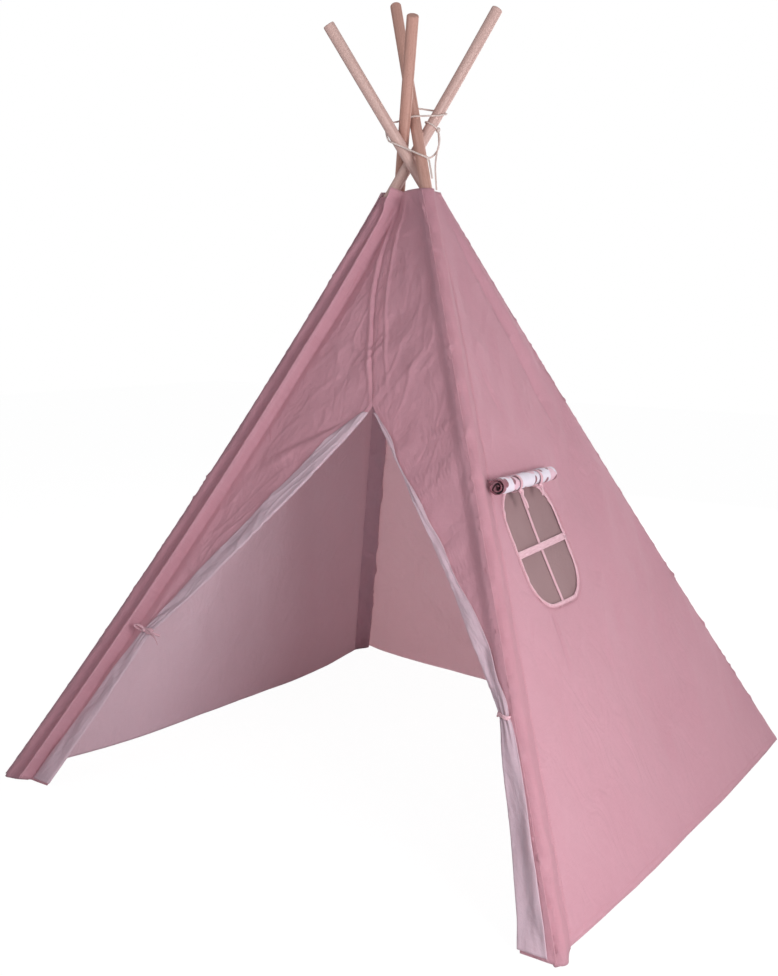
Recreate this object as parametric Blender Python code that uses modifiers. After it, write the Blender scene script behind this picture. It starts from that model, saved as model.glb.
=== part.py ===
"""A play tent: four two-piece poles lashed where they cross, in a cloth cover with a sleeve on each pole.

Metres, +Z up, the doorway towards -Y. Seen from outside, each wall carries the sleeve on its left edge, and
its right edge is sewn to the outer seam of the next sleeve round.
"""

import math

import bmesh
import bpy
import numpy as np
from mathutils import Matrix, Vector

for old in list(bpy.data.objects):
    bpy.data.objects.remove(old, do_unlink=True)

# Driving dimensions of the frame
POLE_DIAMETER = 0.022
POLE_GAP = 0.001                # least gap between two poles where they cross
POLE_LENGTH = {"front_left": 1.79, "front_right": 1.79, "back_right": 1.78, "back_left": 1.78}
BASE_WIDTH = 1.20               # between the feet, left to right
BASE_DEPTH = 1.14               # between the feet, front to back
# How far each foot stands off its corner of that rectangle, because the tent is set up a little out of true
FOOT_SHIFT = {
    "front_left": (-0.011, -0.017),
    "front_right": (0.011, 0.015),
    "back_right": (-0.022, -0.020),
    "back_left": (0.016, 0.017),
}
CROSSING_HEIGHT = 1.255         # where the poles cross above the cover
CROSSING_CENTRE = (0.0025, -0.086)
# Where each pole passes the crossing, counted in pole pitches from its centre
WEAVE = {
    "front_left": (-0.22, 0.59),
    "front_right": (1.23, -0.24),
    "back_right": (-0.10, -0.76),
    "back_left": (-0.92, 0.47),
}
# How far the pull of the cover bows each pole inwards at half its length
BOW = {"front_left": 0.030, "front_right": 0.006, "back_right": 0.010, "back_left": 0.006}
TIP_ROUNDING = 0.0025           # rounded rim of a pole's upper end
FERRULE_LENGTH = 0.080
FERRULE_WALL = 0.0006
PIVOT = (-0.0015, -0.086, 1.206)  # the left pair of poles turns about a line through this point, along Y

# Driving dimensions of the cover
CLOTH = 0.002                   # a wall of the cover, with its hems
SLEEVE_WALL = 0.0014
SLEEVE_EASE = 0.0005            # between the ferrule and the sleeve
SLEEVE_OUTER = 0.016            # from the pole's centre line to the sleeve's outer seam
SLEEVE_INNER = 0.038            # and to its inner seam
SLEEVE_INNER_TOP = 0.027        # the same at the cover's top
SLEEVE_NARROWS_ABOVE = 0.95
SLEEVE_TIP = 0.0012             # half the thickness of the sleeve at its seams
COVER_TOP = 1.170
HEM_HEIGHT = 0.0015
POCKET_FLOOR = 0.002            # cloth under the end of the pole
GAP = 0.0003                    # between two pieces that touch
SEAM_GAP = 0.0008               # between a wall's edge and the sleeve that it is sewn to
WALL_BULGE = {"right": 0.010, "left": -0.055, "back": -0.055}  # at the hem; the shaded walls sag inwards
CREASE = 0.001                  # the back wall's halves lie this share of its width apart

# The doorway in the front wall
DOOR_APEX_HEIGHT = 0.773
SEAM_TOP_SHARE = 0.22           # the centre seam at the cover's top, as a share of the front wall
SEAM_APEX_SHARE = 0.53          # and at the doorway's apex
TIE_HEIGHT = 0.316              # where the door flaps are tied back
TIE_MARGIN = {"left": 0.050, "right": 0.023}  # cloth left between the seam and the doorway at the tie
HEM_MARGIN = {"left": 0.055, "right": 0.058}  # and at the hem
EDGE_BOW = {"left": -0.014, "right": 0.012}   # how far the doorway's edges bow away from it
PLEAT_DEPTH = 0.0035            # folds that fan out below the top of the front wall
PLEATS = 4
PLEATS_FROM = 0.72
PLEATS_FULL_AT = 1.05

# The door flaps, folded back over the wall and tied
FLAP_WIDE = {"left": 0.036, "right": 0.030}
FLAP_FULLEST = {"left": 0.8, "right": 2.0}    # above 1, a flap is fullest near its tie
FLAP_AT_APEX = 0.006
FLAP_TIED = 0.020
FLAP_TIED_OVER = 0.008          # half the height of its gathered stretch
FLAP_HEM = 0.050
FLAP_HALF = 0.0035              # half its thickness
FLAP_PROUD = 0.003              # it passes the doorway's edge by this
FLAP_EASE = 0.0010              # between the flap and the wall
FLAP_ABOVE_FLOOR = 0.005
FLAP_TIE_EASE = 0.0002          # between the flap and the ribbon round it
BOW_KNOT = (0.0050, 0.0042, 0.0032)    # half the size of the bow's knot: across, up and out

# The window in the right wall
WINDOW_HEIGHT_LOW = 0.437
WINDOW_HEIGHT_HIGH = 0.638
WINDOW_FRONT = 0.094            # from the front right pole to the window's front edge, level with its middle
WINDOW_WIDTH = 0.184
WINDOW_CORNER = 0.062
WINDOW_LEAN = -0.40             # the window leans forwards, this much along the wall for each metre up
BINDING_WIDTH = 0.008
BINDING_THICKNESS = 0.0012
NET_THICKNESS = 0.0006
NET_MARGIN = 0.010
BAR_WIDTH_VERTICAL = 0.010
BAR_WIDTH_HORIZONTAL = 0.013
BAR_HEIGHT_SHARE = 0.47
BAR_THICKNESS = 0.0008
BAR_EASE = 0.0008               # its ends stop this much short of the hole's edge
BLIND_OVERHANG = 0.051          # the rolled blind reaches this far past the window's front edge
BLIND_LENGTH = 0.204
BLIND_RADIUS = 0.0125
BLIND_TURNS = 2.25
BLIND_CLOTH = 0.0016
BLIND_RISE = 0.003              # from the window's top edge up to the middle of the roll
BLIND_STAND_OFF = 0.0030        # between the wall and the roll, where the ties pass
BLIND_HANG = 0.010              # from the roll's top up to its seam
BLIND_EASE = 0.0008             # between the blind's seam and the wall, which bellies a little
BLIND_INNER = 0.0030            # the spiral's first radius
BLIND_TIES = (0.39, 0.81)
BLIND_PINCH = 0.10              # how much a tie draws the roll in
BLIND_KNOT = (0.0048, 0.0030, 0.0034)  # half the size of a tie's knot: along the roll, out and up
TIE_KNOT_AT = -64               # degrees round the roll from straight out of the wall
TIE_EASE = 0.0003
TIE_TAIL_APART = 0.0015         # half the distance between the two tails at the knot
RIBBON_WIDTH = 0.007
RIBBON_THICKNESS = 0.0008
TAIL_SHARE = 0.7                # a knotted ribbon's width, as a share of its full width

# The lashing
CORD_DIAMETER = 0.0036
CORD_EASE = 0.0012              # the cord is loose on the poles
# The cord's way, told by where it lies on the poles: a pole, a height, and the side in degrees from +X
LASHING = (
    ("front_right", 1.321, 205),
    ("front_right", 1.331, 134),
    ("front_left", 1.324, 134),
    ("front_left", 1.3185, 60),
    ("front_left", 1.312, -46),
    ("front_right", 1.309, -46),
    ("front_right", 1.308, -75),
    ("back_left", 1.302, 137),
    ("back_right", 1.2925, 137),
    ("back_right", 1.262, 215),
    ("back_right", 1.253, 283),
    ("front_right", 1.236, 283),
    ("front_right", 1.224, 380),
    ("front_right", 1.190, 380),
)
CORD_STEP = 18                  # degrees between its points round a pole
KNOT_EASE = 0.0004              # the knot is tight
KNOT_HEIGHT = 1.295
KNOT_FACES = math.radians(35)   # the side of the front left pole that the tails hang on, from +X
KNOT_OPEN = math.radians(44)
# The knot's two ends: how far each goes away from the pole and down
KNOT_TAILS = (
    ((0.003, 0.020), (-0.002, 0.045), (-0.004, 0.072), (-0.001, 0.112)),
    ((0.002, 0.018), (0.001, 0.034), (-0.008, 0.047), (-0.017, 0.051), (-0.024, 0.046)),
)

POLE_RADIUS = POLE_DIAMETER / 2
PITCH = POLE_DIAMETER + POLE_GAP
FERRULE_RADIUS = POLE_RADIUS + GAP + FERRULE_WALL
BORE_RADIUS = FERRULE_RADIUS + SLEEVE_EASE
SLEEVE_RADIUS = BORE_RADIUS + SLEEVE_WALL
CORD_RADIUS = CORD_DIAMETER / 2
CLOTH_FRONT = BLIND_EASE + BLIND_CLOTH + GAP + RIBBON_THICKNESS / 2  # a ribbon over the blind's seam
CORNERS = ("front_left", "front_right", "back_right", "back_left")
SIGN = {"front_left": (-1, -1), "front_right": (1, -1), "back_right": (1, 1), "back_left": (-1, 1)}
WALL_OF = dict(zip(CORNERS, ("front", "right", "back", "left")))
UP = Vector((0, 0, 1))
# The heights at which the walls and the sleeves have their rows of points
LEVELS = (
    *np.linspace(0, TIE_HEIGHT, 4),
    *np.linspace(TIE_HEIGHT, DOOR_APEX_HEIGHT, 5)[1:],
    *np.linspace(DOOR_APEX_HEIGHT, COVER_TOP, 5)[1:],
)


def collection(name, hidden=False):
    made = bpy.data.collections.new(name)
    bpy.context.scene.collection.children.link(made)
    made.hide_render = hidden
    return made


TENT = collection("play_tent")
CUTTERS = collection("cutters", hidden=True)


def material(name, colour, roughness, metallic=0.0):
    made = bpy.data.materials.new(name)
    made.use_nodes = True
    shader = made.node_tree.nodes["Principled BSDF"]
    shader.inputs["Base Color"].default_value = (*colour, 1)
    shader.inputs["Roughness"].default_value = roughness
    shader.inputs["Metallic"].default_value = metallic
    return made


def add_object(name, data, made_of, smooth=True):
    obj = bpy.data.objects.new(name, data)
    TENT.objects.link(obj)
    data.materials.append(made_of)
    if smooth and obj.type == "MESH":
        data.shade_smooth()
        data.set_sharp_from_angle(angle=math.radians(40))
    return obj


def as_cutter(obj):
    TENT.objects.unlink(obj)
    CUTTERS.objects.link(obj)
    obj.hide_render = True
    obj.display_type = "WIRE"


def mesh_from(name, points, faces):
    mesh = bpy.data.meshes.new(name)
    mesh.from_pydata([tuple(p) for p in points], [], faces)
    made = bmesh.new()
    made.from_mesh(mesh)
    bmesh.ops.recalc_face_normals(made, faces=made.faces)
    made.to_mesh(mesh)
    made.free()
    return mesh


def sheet(name, rows, thickness, made_of):
    """A cloth: an open grid of points, thickened to both sides."""
    across = len(rows[0])
    faces = [
        (r * across + c, r * across + c + 1, (r + 1) * across + c + 1, (r + 1) * across + c)
        for r in range(len(rows) - 1)
        for c in range(across - 1)
    ]
    obj = add_object(name, mesh_from(name, [p for row in rows for p in row], faces), made_of)
    thicken = obj.modifiers.new("cloth", "SOLIDIFY")
    thicken.thickness = thickness
    thicken.offset = 0
    thicken.use_even_offset = True
    return obj


def loft(name, rings, made_of, bore=None):
    """A closed skin through rings of points. With a bore, it is a cup open at its last ring."""
    count = len(rings[0])
    points = [p for ring in rings for p in ring]
    faces = ring_faces(len(rings), count, 0)
    faces.append(tuple(range(count)))
    last = (len(rings) - 1) * count
    if bore is None:
        faces.append(tuple(range(last, last + count)))
        return add_object(name, mesh_from(name, points, faces), made_of)
    first = len(points)
    points += [p for ring in bore for p in ring]
    faces += ring_faces(len(bore), count, first)
    faces.append(tuple(range(first, first + count)))
    end = first + (len(bore) - 1) * count
    for i in range(count):
        j = (i + 1) % count
        faces.append((last + i, last + j, end + j, end + i))
    return add_object(name, mesh_from(name, points, faces), made_of)


def ring_faces(rings, count, first):
    return [
        (
            first + r * count + i,
            first + r * count + (i + 1) % count,
            first + (r + 1) * count + (i + 1) % count,
            first + (r + 1) * count + i,
        )
        for r in range(rings - 1)
        for i in range(count)
    ]


def rod(name, points, radius, made_of, sides=4, radii=None):
    curve = bpy.data.curves.new(name, "CURVE")
    curve.dimensions = "3D"
    curve.bevel_depth = radius
    curve.bevel_resolution = sides
    curve.use_fill_caps = True
    spline = curve.splines.new("POLY")
    spline.points.add(len(points) - 1)
    for i, (point, at) in enumerate(zip(spline.points, points)):
        point.co = (*at, 1)
        point.radius = radii[i] if radii else 1
    return add_object(name, curve, made_of)


# Where everything lies: the poles' centre lines, and the walls between them


def pole_ends(corner):
    foot = Vector(
        (
            SIGN[corner][0] * BASE_WIDTH / 2 + FOOT_SHIFT[corner][0],
            SIGN[corner][1] * BASE_DEPTH / 2 + FOOT_SHIFT[corner][1],
            0,
        )
    )
    crossing = Vector(
        (
            CROSSING_CENTRE[0] + WEAVE[corner][0] * PITCH,
            CROSSING_CENTRE[1] + WEAVE[corner][1] * PITCH,
            CROSSING_HEIGHT,
        )
    )
    return foot, foot + (crossing - foot).normalized() * POLE_LENGTH[corner]


def pole_point(corner, height):
    foot, top = pole_ends(corner)
    share = height / top.z
    inwards = -Vector((*SIGN[corner], 0)).normalized()
    return foot.lerp(top, share) + inwards * 4 * share * (1 - share) * BOW[corner]


def pole_direction(corner, height):
    return (pole_point(corner, height + 0.001) - pole_point(corner, height - 0.001)).normalized()


def next_corner(corner):
    return CORNERS[(CORNERS.index(corner) + 1) % 4]


def corner_before(corner):
    return CORNERS[CORNERS.index(corner) - 1]


def wall_axes(corner, height):
    """Across the wall that starts at this corner, square to its pole, and outwards."""
    along = pole_point(next_corner(corner), height) - pole_point(corner, height)
    along.z = 0
    direction = pole_direction(corner, height)
    across = (along - direction * along.dot(direction)).normalized()
    return across, across.cross(direction), direction


def beside_pole(corner, height, across, outwards=0.0):
    """The point of a level slice that is this far across the wall and out of it, measured square to the pole."""
    axis_across, axis_out, direction = wall_axes(corner, height)
    off = axis_across * across + axis_out * outwards
    return pole_point(corner, height) + off - direction * (off.z / direction.z)


def sleeve_inner(height):
    share = max(0.0, (height - SLEEVE_NARROWS_ABOVE) / (COVER_TOP - SLEEVE_NARROWS_ABOVE))
    return SLEEVE_INNER + (SLEEVE_INNER_TOP - SLEEVE_INNER) * share


def outer_seam_angle(corner, height):
    """Where a sleeve's outer seam lies round its pole: it faces out of the wall before it."""
    across, out, direction = wall_axes(corner, height)
    before = corner_before(corner)
    along = pole_point(corner, height) - pole_point(before, height)
    faced = along.cross(direction + pole_direction(before, height)).normalized()
    return math.atan2(faced.dot(out), faced.dot(across))


def outer_seam(corner, height, reach):
    angle = outer_seam_angle(corner, height)
    return beside_pole(corner, height, reach * math.cos(angle), reach * math.sin(angle))


def wall_sides(corner, height):
    """The two seams of the wall that starts at this corner, at one height."""
    start = beside_pole(corner, height, sleeve_inner(height) + SEAM_GAP)
    end = outer_seam(next_corner(corner), height, SLEEVE_OUTER + SEAM_GAP + CLOTH / 2)
    return start, end


def wall_out(corner, height):
    start, end = wall_sides(corner, height)
    rise = pole_direction(corner, height) + pole_direction(next_corner(corner), height)
    return (end - start).cross(rise).normalized()


def wall_point(corner, height, share, bulge=0.0, out=0.0):
    """A point on a wall, with the belly or the sag that the cloth has towards its hem."""
    start, end = wall_sides(corner, height)
    belly = bulge * (1 - abs(2 * share - 1) ** 3) * (1 - height / COVER_TOP) ** 2
    outwards = wall_out(corner, height)
    level = Vector((outwards.x, outwards.y, 0)).normalized()
    return start.lerp(end, share) + level * belly + outwards * out


def share_at(corner, height, distance):
    """How far across a wall a distance from its first seam is."""
    start, end = wall_sides(corner, height)
    return distance / (end - start).length


# Poles, their ferrules and the sleeves


def pole(corner, wood, steel):
    top = pole_ends(corner)[1]
    low = POCKET_FLOOR + GAP + POLE_RADIUS * math.sqrt(1 - pole_direction(corner, 0.01).z ** 2)
    middle = top.z / 2
    rise = pole_direction(corner, middle).z
    joint = [middle - rise * FERRULE_LENGTH / 2, middle - rise * GAP]
    lower = [*np.linspace(low, joint[0], 5), joint[1]]
    upper = [middle + rise * GAP, *np.linspace(2 * middle - joint[0], top.z, 5)]
    rod(f"pole_{corner}_lower", [pole_point(corner, z) for z in lower], POLE_RADIUS, wood)
    tip = pole_point(corner, top.z)
    rim = tip - pole_direction(corner, top.z) * TIP_ROUNDING
    rod(
        f"pole_{corner}_upper",
        [pole_point(corner, z) for z in upper[:-1]] + [rim, tip],
        POLE_RADIUS,
        wood,
        radii=[1] * len(upper) + [1 - TIP_ROUNDING / POLE_RADIUS],
    )
    ferrule(corner, middle, steel)


def ferrule(corner, middle, steel):
    """An open cylinder with a wall, on the joint between the pole's halves."""
    mesh = bpy.data.meshes.new(f"pole_{corner}_ferrule")
    made = bmesh.new()
    radius = FERRULE_RADIUS - FERRULE_WALL
    bmesh.ops.create_cone(
        made, segments=16, cap_ends=False, radius1=radius, radius2=radius, depth=FERRULE_LENGTH
    )
    made.to_mesh(mesh)
    made.free()
    obj = add_object(mesh.name, mesh, steel)
    obj.location = pole_point(corner, middle)
    obj.rotation_mode = "QUATERNION"
    obj.rotation_quaternion = pole_direction(corner, middle).to_track_quat("Z", "Y")
    thicken = obj.modifiers.new("wall", "SOLIDIFY")
    thicken.thickness = FERRULE_WALL
    thicken.offset = 1


def sleeve(corner, cloth):
    """A flat tube of cloth round the pole, closed under its foot and open at the top."""
    lean = math.radians(35)     # the cloth leaves the round part this far from a seam
    bore_lean = math.radians(12)

    def angles(height, beside_seam, beside_inner):
        """Four angles on each side of the pole, from the outer seam to the inner one and back."""
        seam = outer_seam_angle(corner, height) % math.tau
        under = np.linspace(seam + beside_seam, math.tau - beside_inner, 4)
        over = np.linspace(beside_inner, seam - beside_seam, 4)
        return seam, list(under), list(over)

    def outer(height):
        seam, under, over = angles(height, lean, math.radians(55))
        inner = sleeve_inner(height)
        tip = (SLEEVE_OUTER * math.cos(seam), SLEEVE_OUTER * math.sin(seam))
        aside = (SLEEVE_TIP * math.sin(seam), -SLEEVE_TIP * math.cos(seam))
        section = [(tip[0] - aside[0], tip[1] - aside[1])]
        section += [(SLEEVE_RADIUS * math.cos(a), SLEEVE_RADIUS * math.sin(a)) for a in under]
        section += [(inner, -SLEEVE_TIP), (inner, SLEEVE_TIP)]
        section += [(SLEEVE_RADIUS * math.cos(a), SLEEVE_RADIUS * math.sin(a)) for a in over]
        section += [(tip[0] + aside[0], tip[1] + aside[1])]
        return [beside_pole(corner, height, p, q) for p, q in section]

    def bored(height):
        seam, under, over = angles(height, lean, math.radians(55))
        turns = [seam + bore_lean, *under, -math.radians(18), math.radians(18), *over, seam - bore_lean]
        # the bore's flat sides come this much nearer to the pole than its corners
        radius = BORE_RADIUS / math.cos(math.radians(18.5))
        return [
            beside_pole(corner, height, radius * math.cos(a), radius * math.sin(a)) for a in turns
        ]

    return loft(
        f"sleeve_{corner}",
        [outer(z) for z in LEVELS],
        cloth,
        bore=[bored(z) for z in (POCKET_FLOOR, *LEVELS[1:])],
    )


# Walls


def wall_levels():
    return (HEM_HEIGHT, *LEVELS[1:])


def wall(name, corner, cloth, low=0.0, high=1.0, columns=8):
    bulge = WALL_BULGE[WALL_OF[corner]]
    shares = np.linspace(low, high, columns)
    grid = [[wall_point(corner, z, s, bulge) for s in shares] for z in wall_levels()]
    return sheet(name, grid, CLOTH, cloth)


def seam_share(height):
    """The front wall's centre seam, as a share of the wall."""
    share = (height - DOOR_APEX_HEIGHT) / (COVER_TOP - DOOR_APEX_HEIGHT)
    return SEAM_APEX_SHARE + (SEAM_TOP_SHARE - SEAM_APEX_SHARE) * share


def door_edge_share(side, height):
    """The doorway's edge: from its apex down to the tie, and beside the sleeve from there to the hem."""
    start, end = wall_sides("front_left", height)
    width = (end - start).length
    if height >= DOOR_APEX_HEIGHT:
        return seam_share(height)
    if height <= TIE_HEIGHT:
        down = 1 - height / TIE_HEIGHT
        margin = TIE_MARGIN[side] + (HEM_MARGIN[side] - TIE_MARGIN[side]) * down
    else:
        down = (DOOR_APEX_HEIGHT - height) / (DOOR_APEX_HEIGHT - TIE_HEIGHT)
        apex_start, apex_end = wall_sides("front_left", DOOR_APEX_HEIGHT)
        apex_share = SEAM_APEX_SHARE if side == "left" else 1 - SEAM_APEX_SHARE
        apex_margin = apex_share * (apex_end - apex_start).length
        margin = apex_margin + (TIE_MARGIN[side] - apex_margin) * down
        margin -= 4 * down * (1 - down) * EDGE_BOW[side]
    return margin / width if side == "left" else 1 - margin / width


def pleats(height, share):
    """The folds that fan out from the top of the front wall, as a distance out of the wall."""
    strength = max(0.0, min(1.0, (height - PLEATS_FROM) / (PLEATS_FULL_AT - PLEATS_FROM)))
    wave = math.cos(math.tau * PLEATS * (share - seam_share(height)))
    return PLEAT_DEPTH * strength * wave * math.sin(math.pi * share)


def front_half(name, side, cloth, columns=9):
    rows = []
    for z in wall_levels():
        start, end = wall_sides("front_left", z)
        half_seam = 1.5 * GAP / (end - start).length
        edge = door_edge_share(side, z)
        if side == "left":
            shares = np.linspace(0, edge - half_seam, columns)
        else:
            shares = np.linspace(edge + half_seam, 1, columns)
        rows.append([wall_point("front_left", z, s, out=pleats(z, s)) for s in shares])
    return sheet(name, rows, CLOTH, cloth)


# The window and its blind


def right_point(across, height, out=0.0):
    """A point of the right wall, this far from the front right sleeve's seam."""
    share = share_at("front_right", height, across)
    return wall_point("front_right", height, share, WALL_BULGE["right"], out)


def window_outline(offset, steps=6):
    """The window as (across, height) pairs round it, grown by offset all round."""
    middle = (WINDOW_HEIGHT_LOW + WINDOW_HEIGHT_HIGH) / 2
    half_height = (WINDOW_HEIGHT_HIGH - WINDOW_HEIGHT_LOW) / 2
    half_width = WINDOW_WIDTH / 2
    radius = WINDOW_CORNER
    found = []
    for quarter, (sx, sz) in enumerate(((1, 1), (-1, 1), (-1, -1), (1, -1))):
        for i in range(steps + 1):
            turn = math.radians(90 * quarter + 90 * i / steps)
            a = sx * (half_width - radius) + (radius + offset) * math.cos(turn)
            z = sz * (half_height - radius) + (radius + offset) * math.sin(turn)
            found.append((a, z))
    centre = WINDOW_FRONT - SLEEVE_INNER + half_width
    return [(centre + a + WINDOW_LEAN * z, middle + z) for a, z in found]


def window_cutter():
    outline = window_outline(0.0)
    rings = [[right_point(a, z, out) for a, z in outline] for out in (-0.02, 0.02)]
    cutter = loft("window_cutter", rings, SPARE)
    as_cutter(cutter)
    return cutter


def right_wall(cloth):
    obj = wall("right_panel", "front_right", cloth, columns=9)
    cut = obj.modifiers.new("window", "BOOLEAN")
    cut.operation = "DIFFERENCE"
    cut.object = window_cutter()
    return obj


def window_net(made_of):
    """A sheet with the window's outline, behind the wall, in rings that follow the wall's belly."""
    out = -(CLOTH / 2 + GAP + NET_THICKNESS / 2)
    outline = window_outline(NET_MARGIN)
    count = len(outline)
    centre_a = sum(a for a, _ in outline) / count
    centre_z = sum(z for _, z in outline) / count
    points, faces = [], []
    for ring, shrink in enumerate((1.0, 0.62, 0.28)):
        for a, z in outline:
            at = (centre_a + (a - centre_a) * shrink, centre_z + (z - centre_z) * shrink)
            points.append(right_point(*at, out))
        if ring:
            faces += ring_faces(2, count, (ring - 1) * count)
    points.append(right_point(centre_a, centre_z, out))
    faces += [(2 * count + i, 2 * count + (i + 1) % count, 3 * count) for i in range(count)]
    obj = add_object("window_net", mesh_from("window_net", points, faces), made_of)
    thicken = obj.modifiers.new("cloth", "SOLIDIFY")
    thicken.thickness = NET_THICKNESS
    thicken.offset = 0
    return obj


def window_binding(cloth):
    out = CLOTH / 2 + GAP + BINDING_THICKNESS / 2
    inner, outer = window_outline(0.0004), window_outline(BINDING_WIDTH)
    count = len(inner)
    points = [right_point(a, z, out) for a, z in inner + outer]
    faces = [(i, (i + 1) % count, count + (i + 1) % count, count + i) for i in range(count)]
    obj = add_object("window_binding", mesh_from("window_binding", points, faces), cloth)
    thicken = obj.modifiers.new("cloth", "SOLIDIFY")
    thicken.thickness = BINDING_THICKNESS
    thicken.offset = 0
    return obj


def window_bar(name, start, end, width, out, cloth):
    """A ribbon across the window between two (across, height) points."""
    along = Vector((end[0] - start[0], end[1] - start[1])).normalized()
    side = Vector((-along.y, along.x)) * width / 2
    rows = []
    for i in range(7):
        a = start[0] + (end[0] - start[0]) * i / 6
        z = start[1] + (end[1] - start[1]) * i / 6
        rows.append(
            [
                right_point(a - side.x, z - side.y, out),
                right_point(a, z, out),
                right_point(a + side.x, z + side.y, out),
            ]
        )
    return sheet(name, rows, BAR_THICKNESS, cloth)


def window_bars(cloth):
    reach = GAP + BAR_EASE
    middle = (WINDOW_HEIGHT_LOW + WINDOW_HEIGHT_HIGH) / 2
    centre = WINDOW_FRONT - SLEEVE_INNER + WINDOW_WIDTH / 2

    def across_at(height, share):
        return centre + WINDOW_LEAN * (height - middle) + share * WINDOW_WIDTH / 2

    slant = abs(WINDOW_LEAN) / 2  # a bar's corners reach this share of its width further
    end_at = reach + BAR_WIDTH_VERTICAL * slant
    low, high = WINDOW_HEIGHT_LOW + end_at, WINDOW_HEIGHT_HIGH - end_at
    window_bar(
        "window_bar_vertical",
        (across_at(low, 0), low),
        (across_at(high, 0), high),
        BAR_WIDTH_VERTICAL,
        0.0,
        cloth,
    )
    bar = WINDOW_HEIGHT_LOW + BAR_HEIGHT_SHARE * (WINDOW_HEIGHT_HIGH - WINDOW_HEIGHT_LOW)
    inset = 1 - 2 * (reach + BAR_WIDTH_HORIZONTAL * slant) / WINDOW_WIDTH
    window_bar(
        "window_bar_horizontal",
        (across_at(bar, -inset), bar),
        (across_at(bar, inset), bar),
        BAR_WIDTH_HORIZONTAL,
        CLOTH / 2 + GAP + BAR_THICKNESS / 2,
        cloth,
    )


def blind_line():
    """The rolled blind's centre line."""
    height = WINDOW_HEIGHT_HIGH + BLIND_RISE
    start_a = WINDOW_FRONT - SLEEVE_INNER - BLIND_OVERHANG
    out = CLOTH / 2 + BLIND_STAND_OFF + BLIND_RADIUS
    start = right_point(start_a, height, out)
    end = right_point(start_a + BLIND_LENGTH, height, out)
    return start, end


def blind_axes():
    start, end = blind_line()
    along = (end - start).normalized()
    out = wall_out("front_right", WINDOW_HEIGHT_HIGH)
    out = (out - along * out.dot(along)).normalized()
    return along, out, out.cross(along)


def blind_hinge():
    """The blind's seam, from its front end to its back end."""
    out, up = blind_axes()[1:]
    wall_at = BLIND_EASE + BLIND_CLOTH / 2 - BLIND_STAND_OFF - BLIND_RADIUS
    return [at + out * wall_at + up * (BLIND_RADIUS + BLIND_HANG) for at in blind_line()]


def thick_line(path, thickness):
    """The outline of a strip with this centre line, both as (out, up) pairs."""
    sides = ([], [])
    for i, at in enumerate(path):
        before, after = path[max(i - 1, 0)], path[min(i + 1, len(path) - 1)]
        way = Vector((after[0] - before[0], after[1] - before[1])).normalized() * thickness / 2
        sides[0].append((at[0] + way.y, at[1] - way.x))
        sides[1].append((at[0] - way.y, at[1] + way.x))
    return sides[0] + sides[1][::-1]


def blind_section(pinch):
    """The blind's cloth seen from its end: a spiral, whose outer end goes up the wall to its seam."""
    steps = 26
    leaves_at = math.radians(100)
    growth = (BLIND_RADIUS - BLIND_CLOTH / 2 - BLIND_INNER) / (math.tau * BLIND_TURNS)
    path = []
    for turn in np.linspace(0, math.tau * BLIND_TURNS, steps + 1):
        radius = (BLIND_INNER + growth * turn) * (1 - pinch)
        angle = leaves_at + turn - math.tau * BLIND_TURNS
        path.append((radius * math.cos(angle), radius * math.sin(angle)))
    wall_at = BLIND_EASE + BLIND_CLOTH / 2 - BLIND_STAND_OFF - BLIND_RADIUS
    path.append((wall_at * 0.70, BLIND_RADIUS * 1.00))
    path.append((wall_at * 0.94, BLIND_RADIUS * 1.22))
    path.append((wall_at, BLIND_RADIUS + BLIND_HANG))
    least = growth * (1 - pinch) * math.tau - BLIND_CLOTH
    return thick_line(path, BLIND_CLOTH), least


def blind_roll(cloth):
    start, end = blind_line()
    out, up = blind_axes()[1:]
    rings = []
    for share in sorted([*np.linspace(0, 1, 7), *BLIND_TIES]):
        pinch = BLIND_PINCH if share in BLIND_TIES else 0.0
        section, least = blind_section(pinch)
        centre = start.lerp(end, share)
        rings.append([centre + out * p + up * q for p, q in section])
    print(f"blind roll: least gap to itself {blind_section(BLIND_PINCH)[1] * 1000:.2f} mm")
    return loft("window_blind_roll", rings, cloth)


# Ribbons and the door flaps


def ribbon(name, path, width_way, width, made_of):
    rows = [[p - width_way * width / 2, p + width_way * width / 2] for p in path]
    return sheet(name, rows, RIBBON_THICKNESS, made_of)


def knotted(name, at, axes, size, ribbons, cloth):
    """A knot with the ribbons that come out of it, as one body. Each ribbon is (path, width way, width)."""
    mesh = bpy.data.meshes.new(name)
    made = bmesh.new()
    bmesh.ops.create_uvsphere(made, u_segments=10, v_segments=6, radius=1)
    place = Matrix(axes).transposed().to_4x4() @ Matrix.Diagonal((*size, 1))
    place.translation = at
    made.transform(place)
    bmesh.ops.recalc_face_normals(made, faces=made.faces)
    made.to_mesh(mesh)
    made.free()
    knot = add_object(name, mesh, cloth)
    for i, (path, way, width) in enumerate(ribbons):
        piece = ribbon(f"{name}_ribbon_{i}", path, way, width, cloth)
        as_cutter(piece)
        fuse = knot.modifiers.new(f"ribbon_{i}", "BOOLEAN")
        fuse.operation = "UNION"
        fuse.object = piece
    return knot


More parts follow.
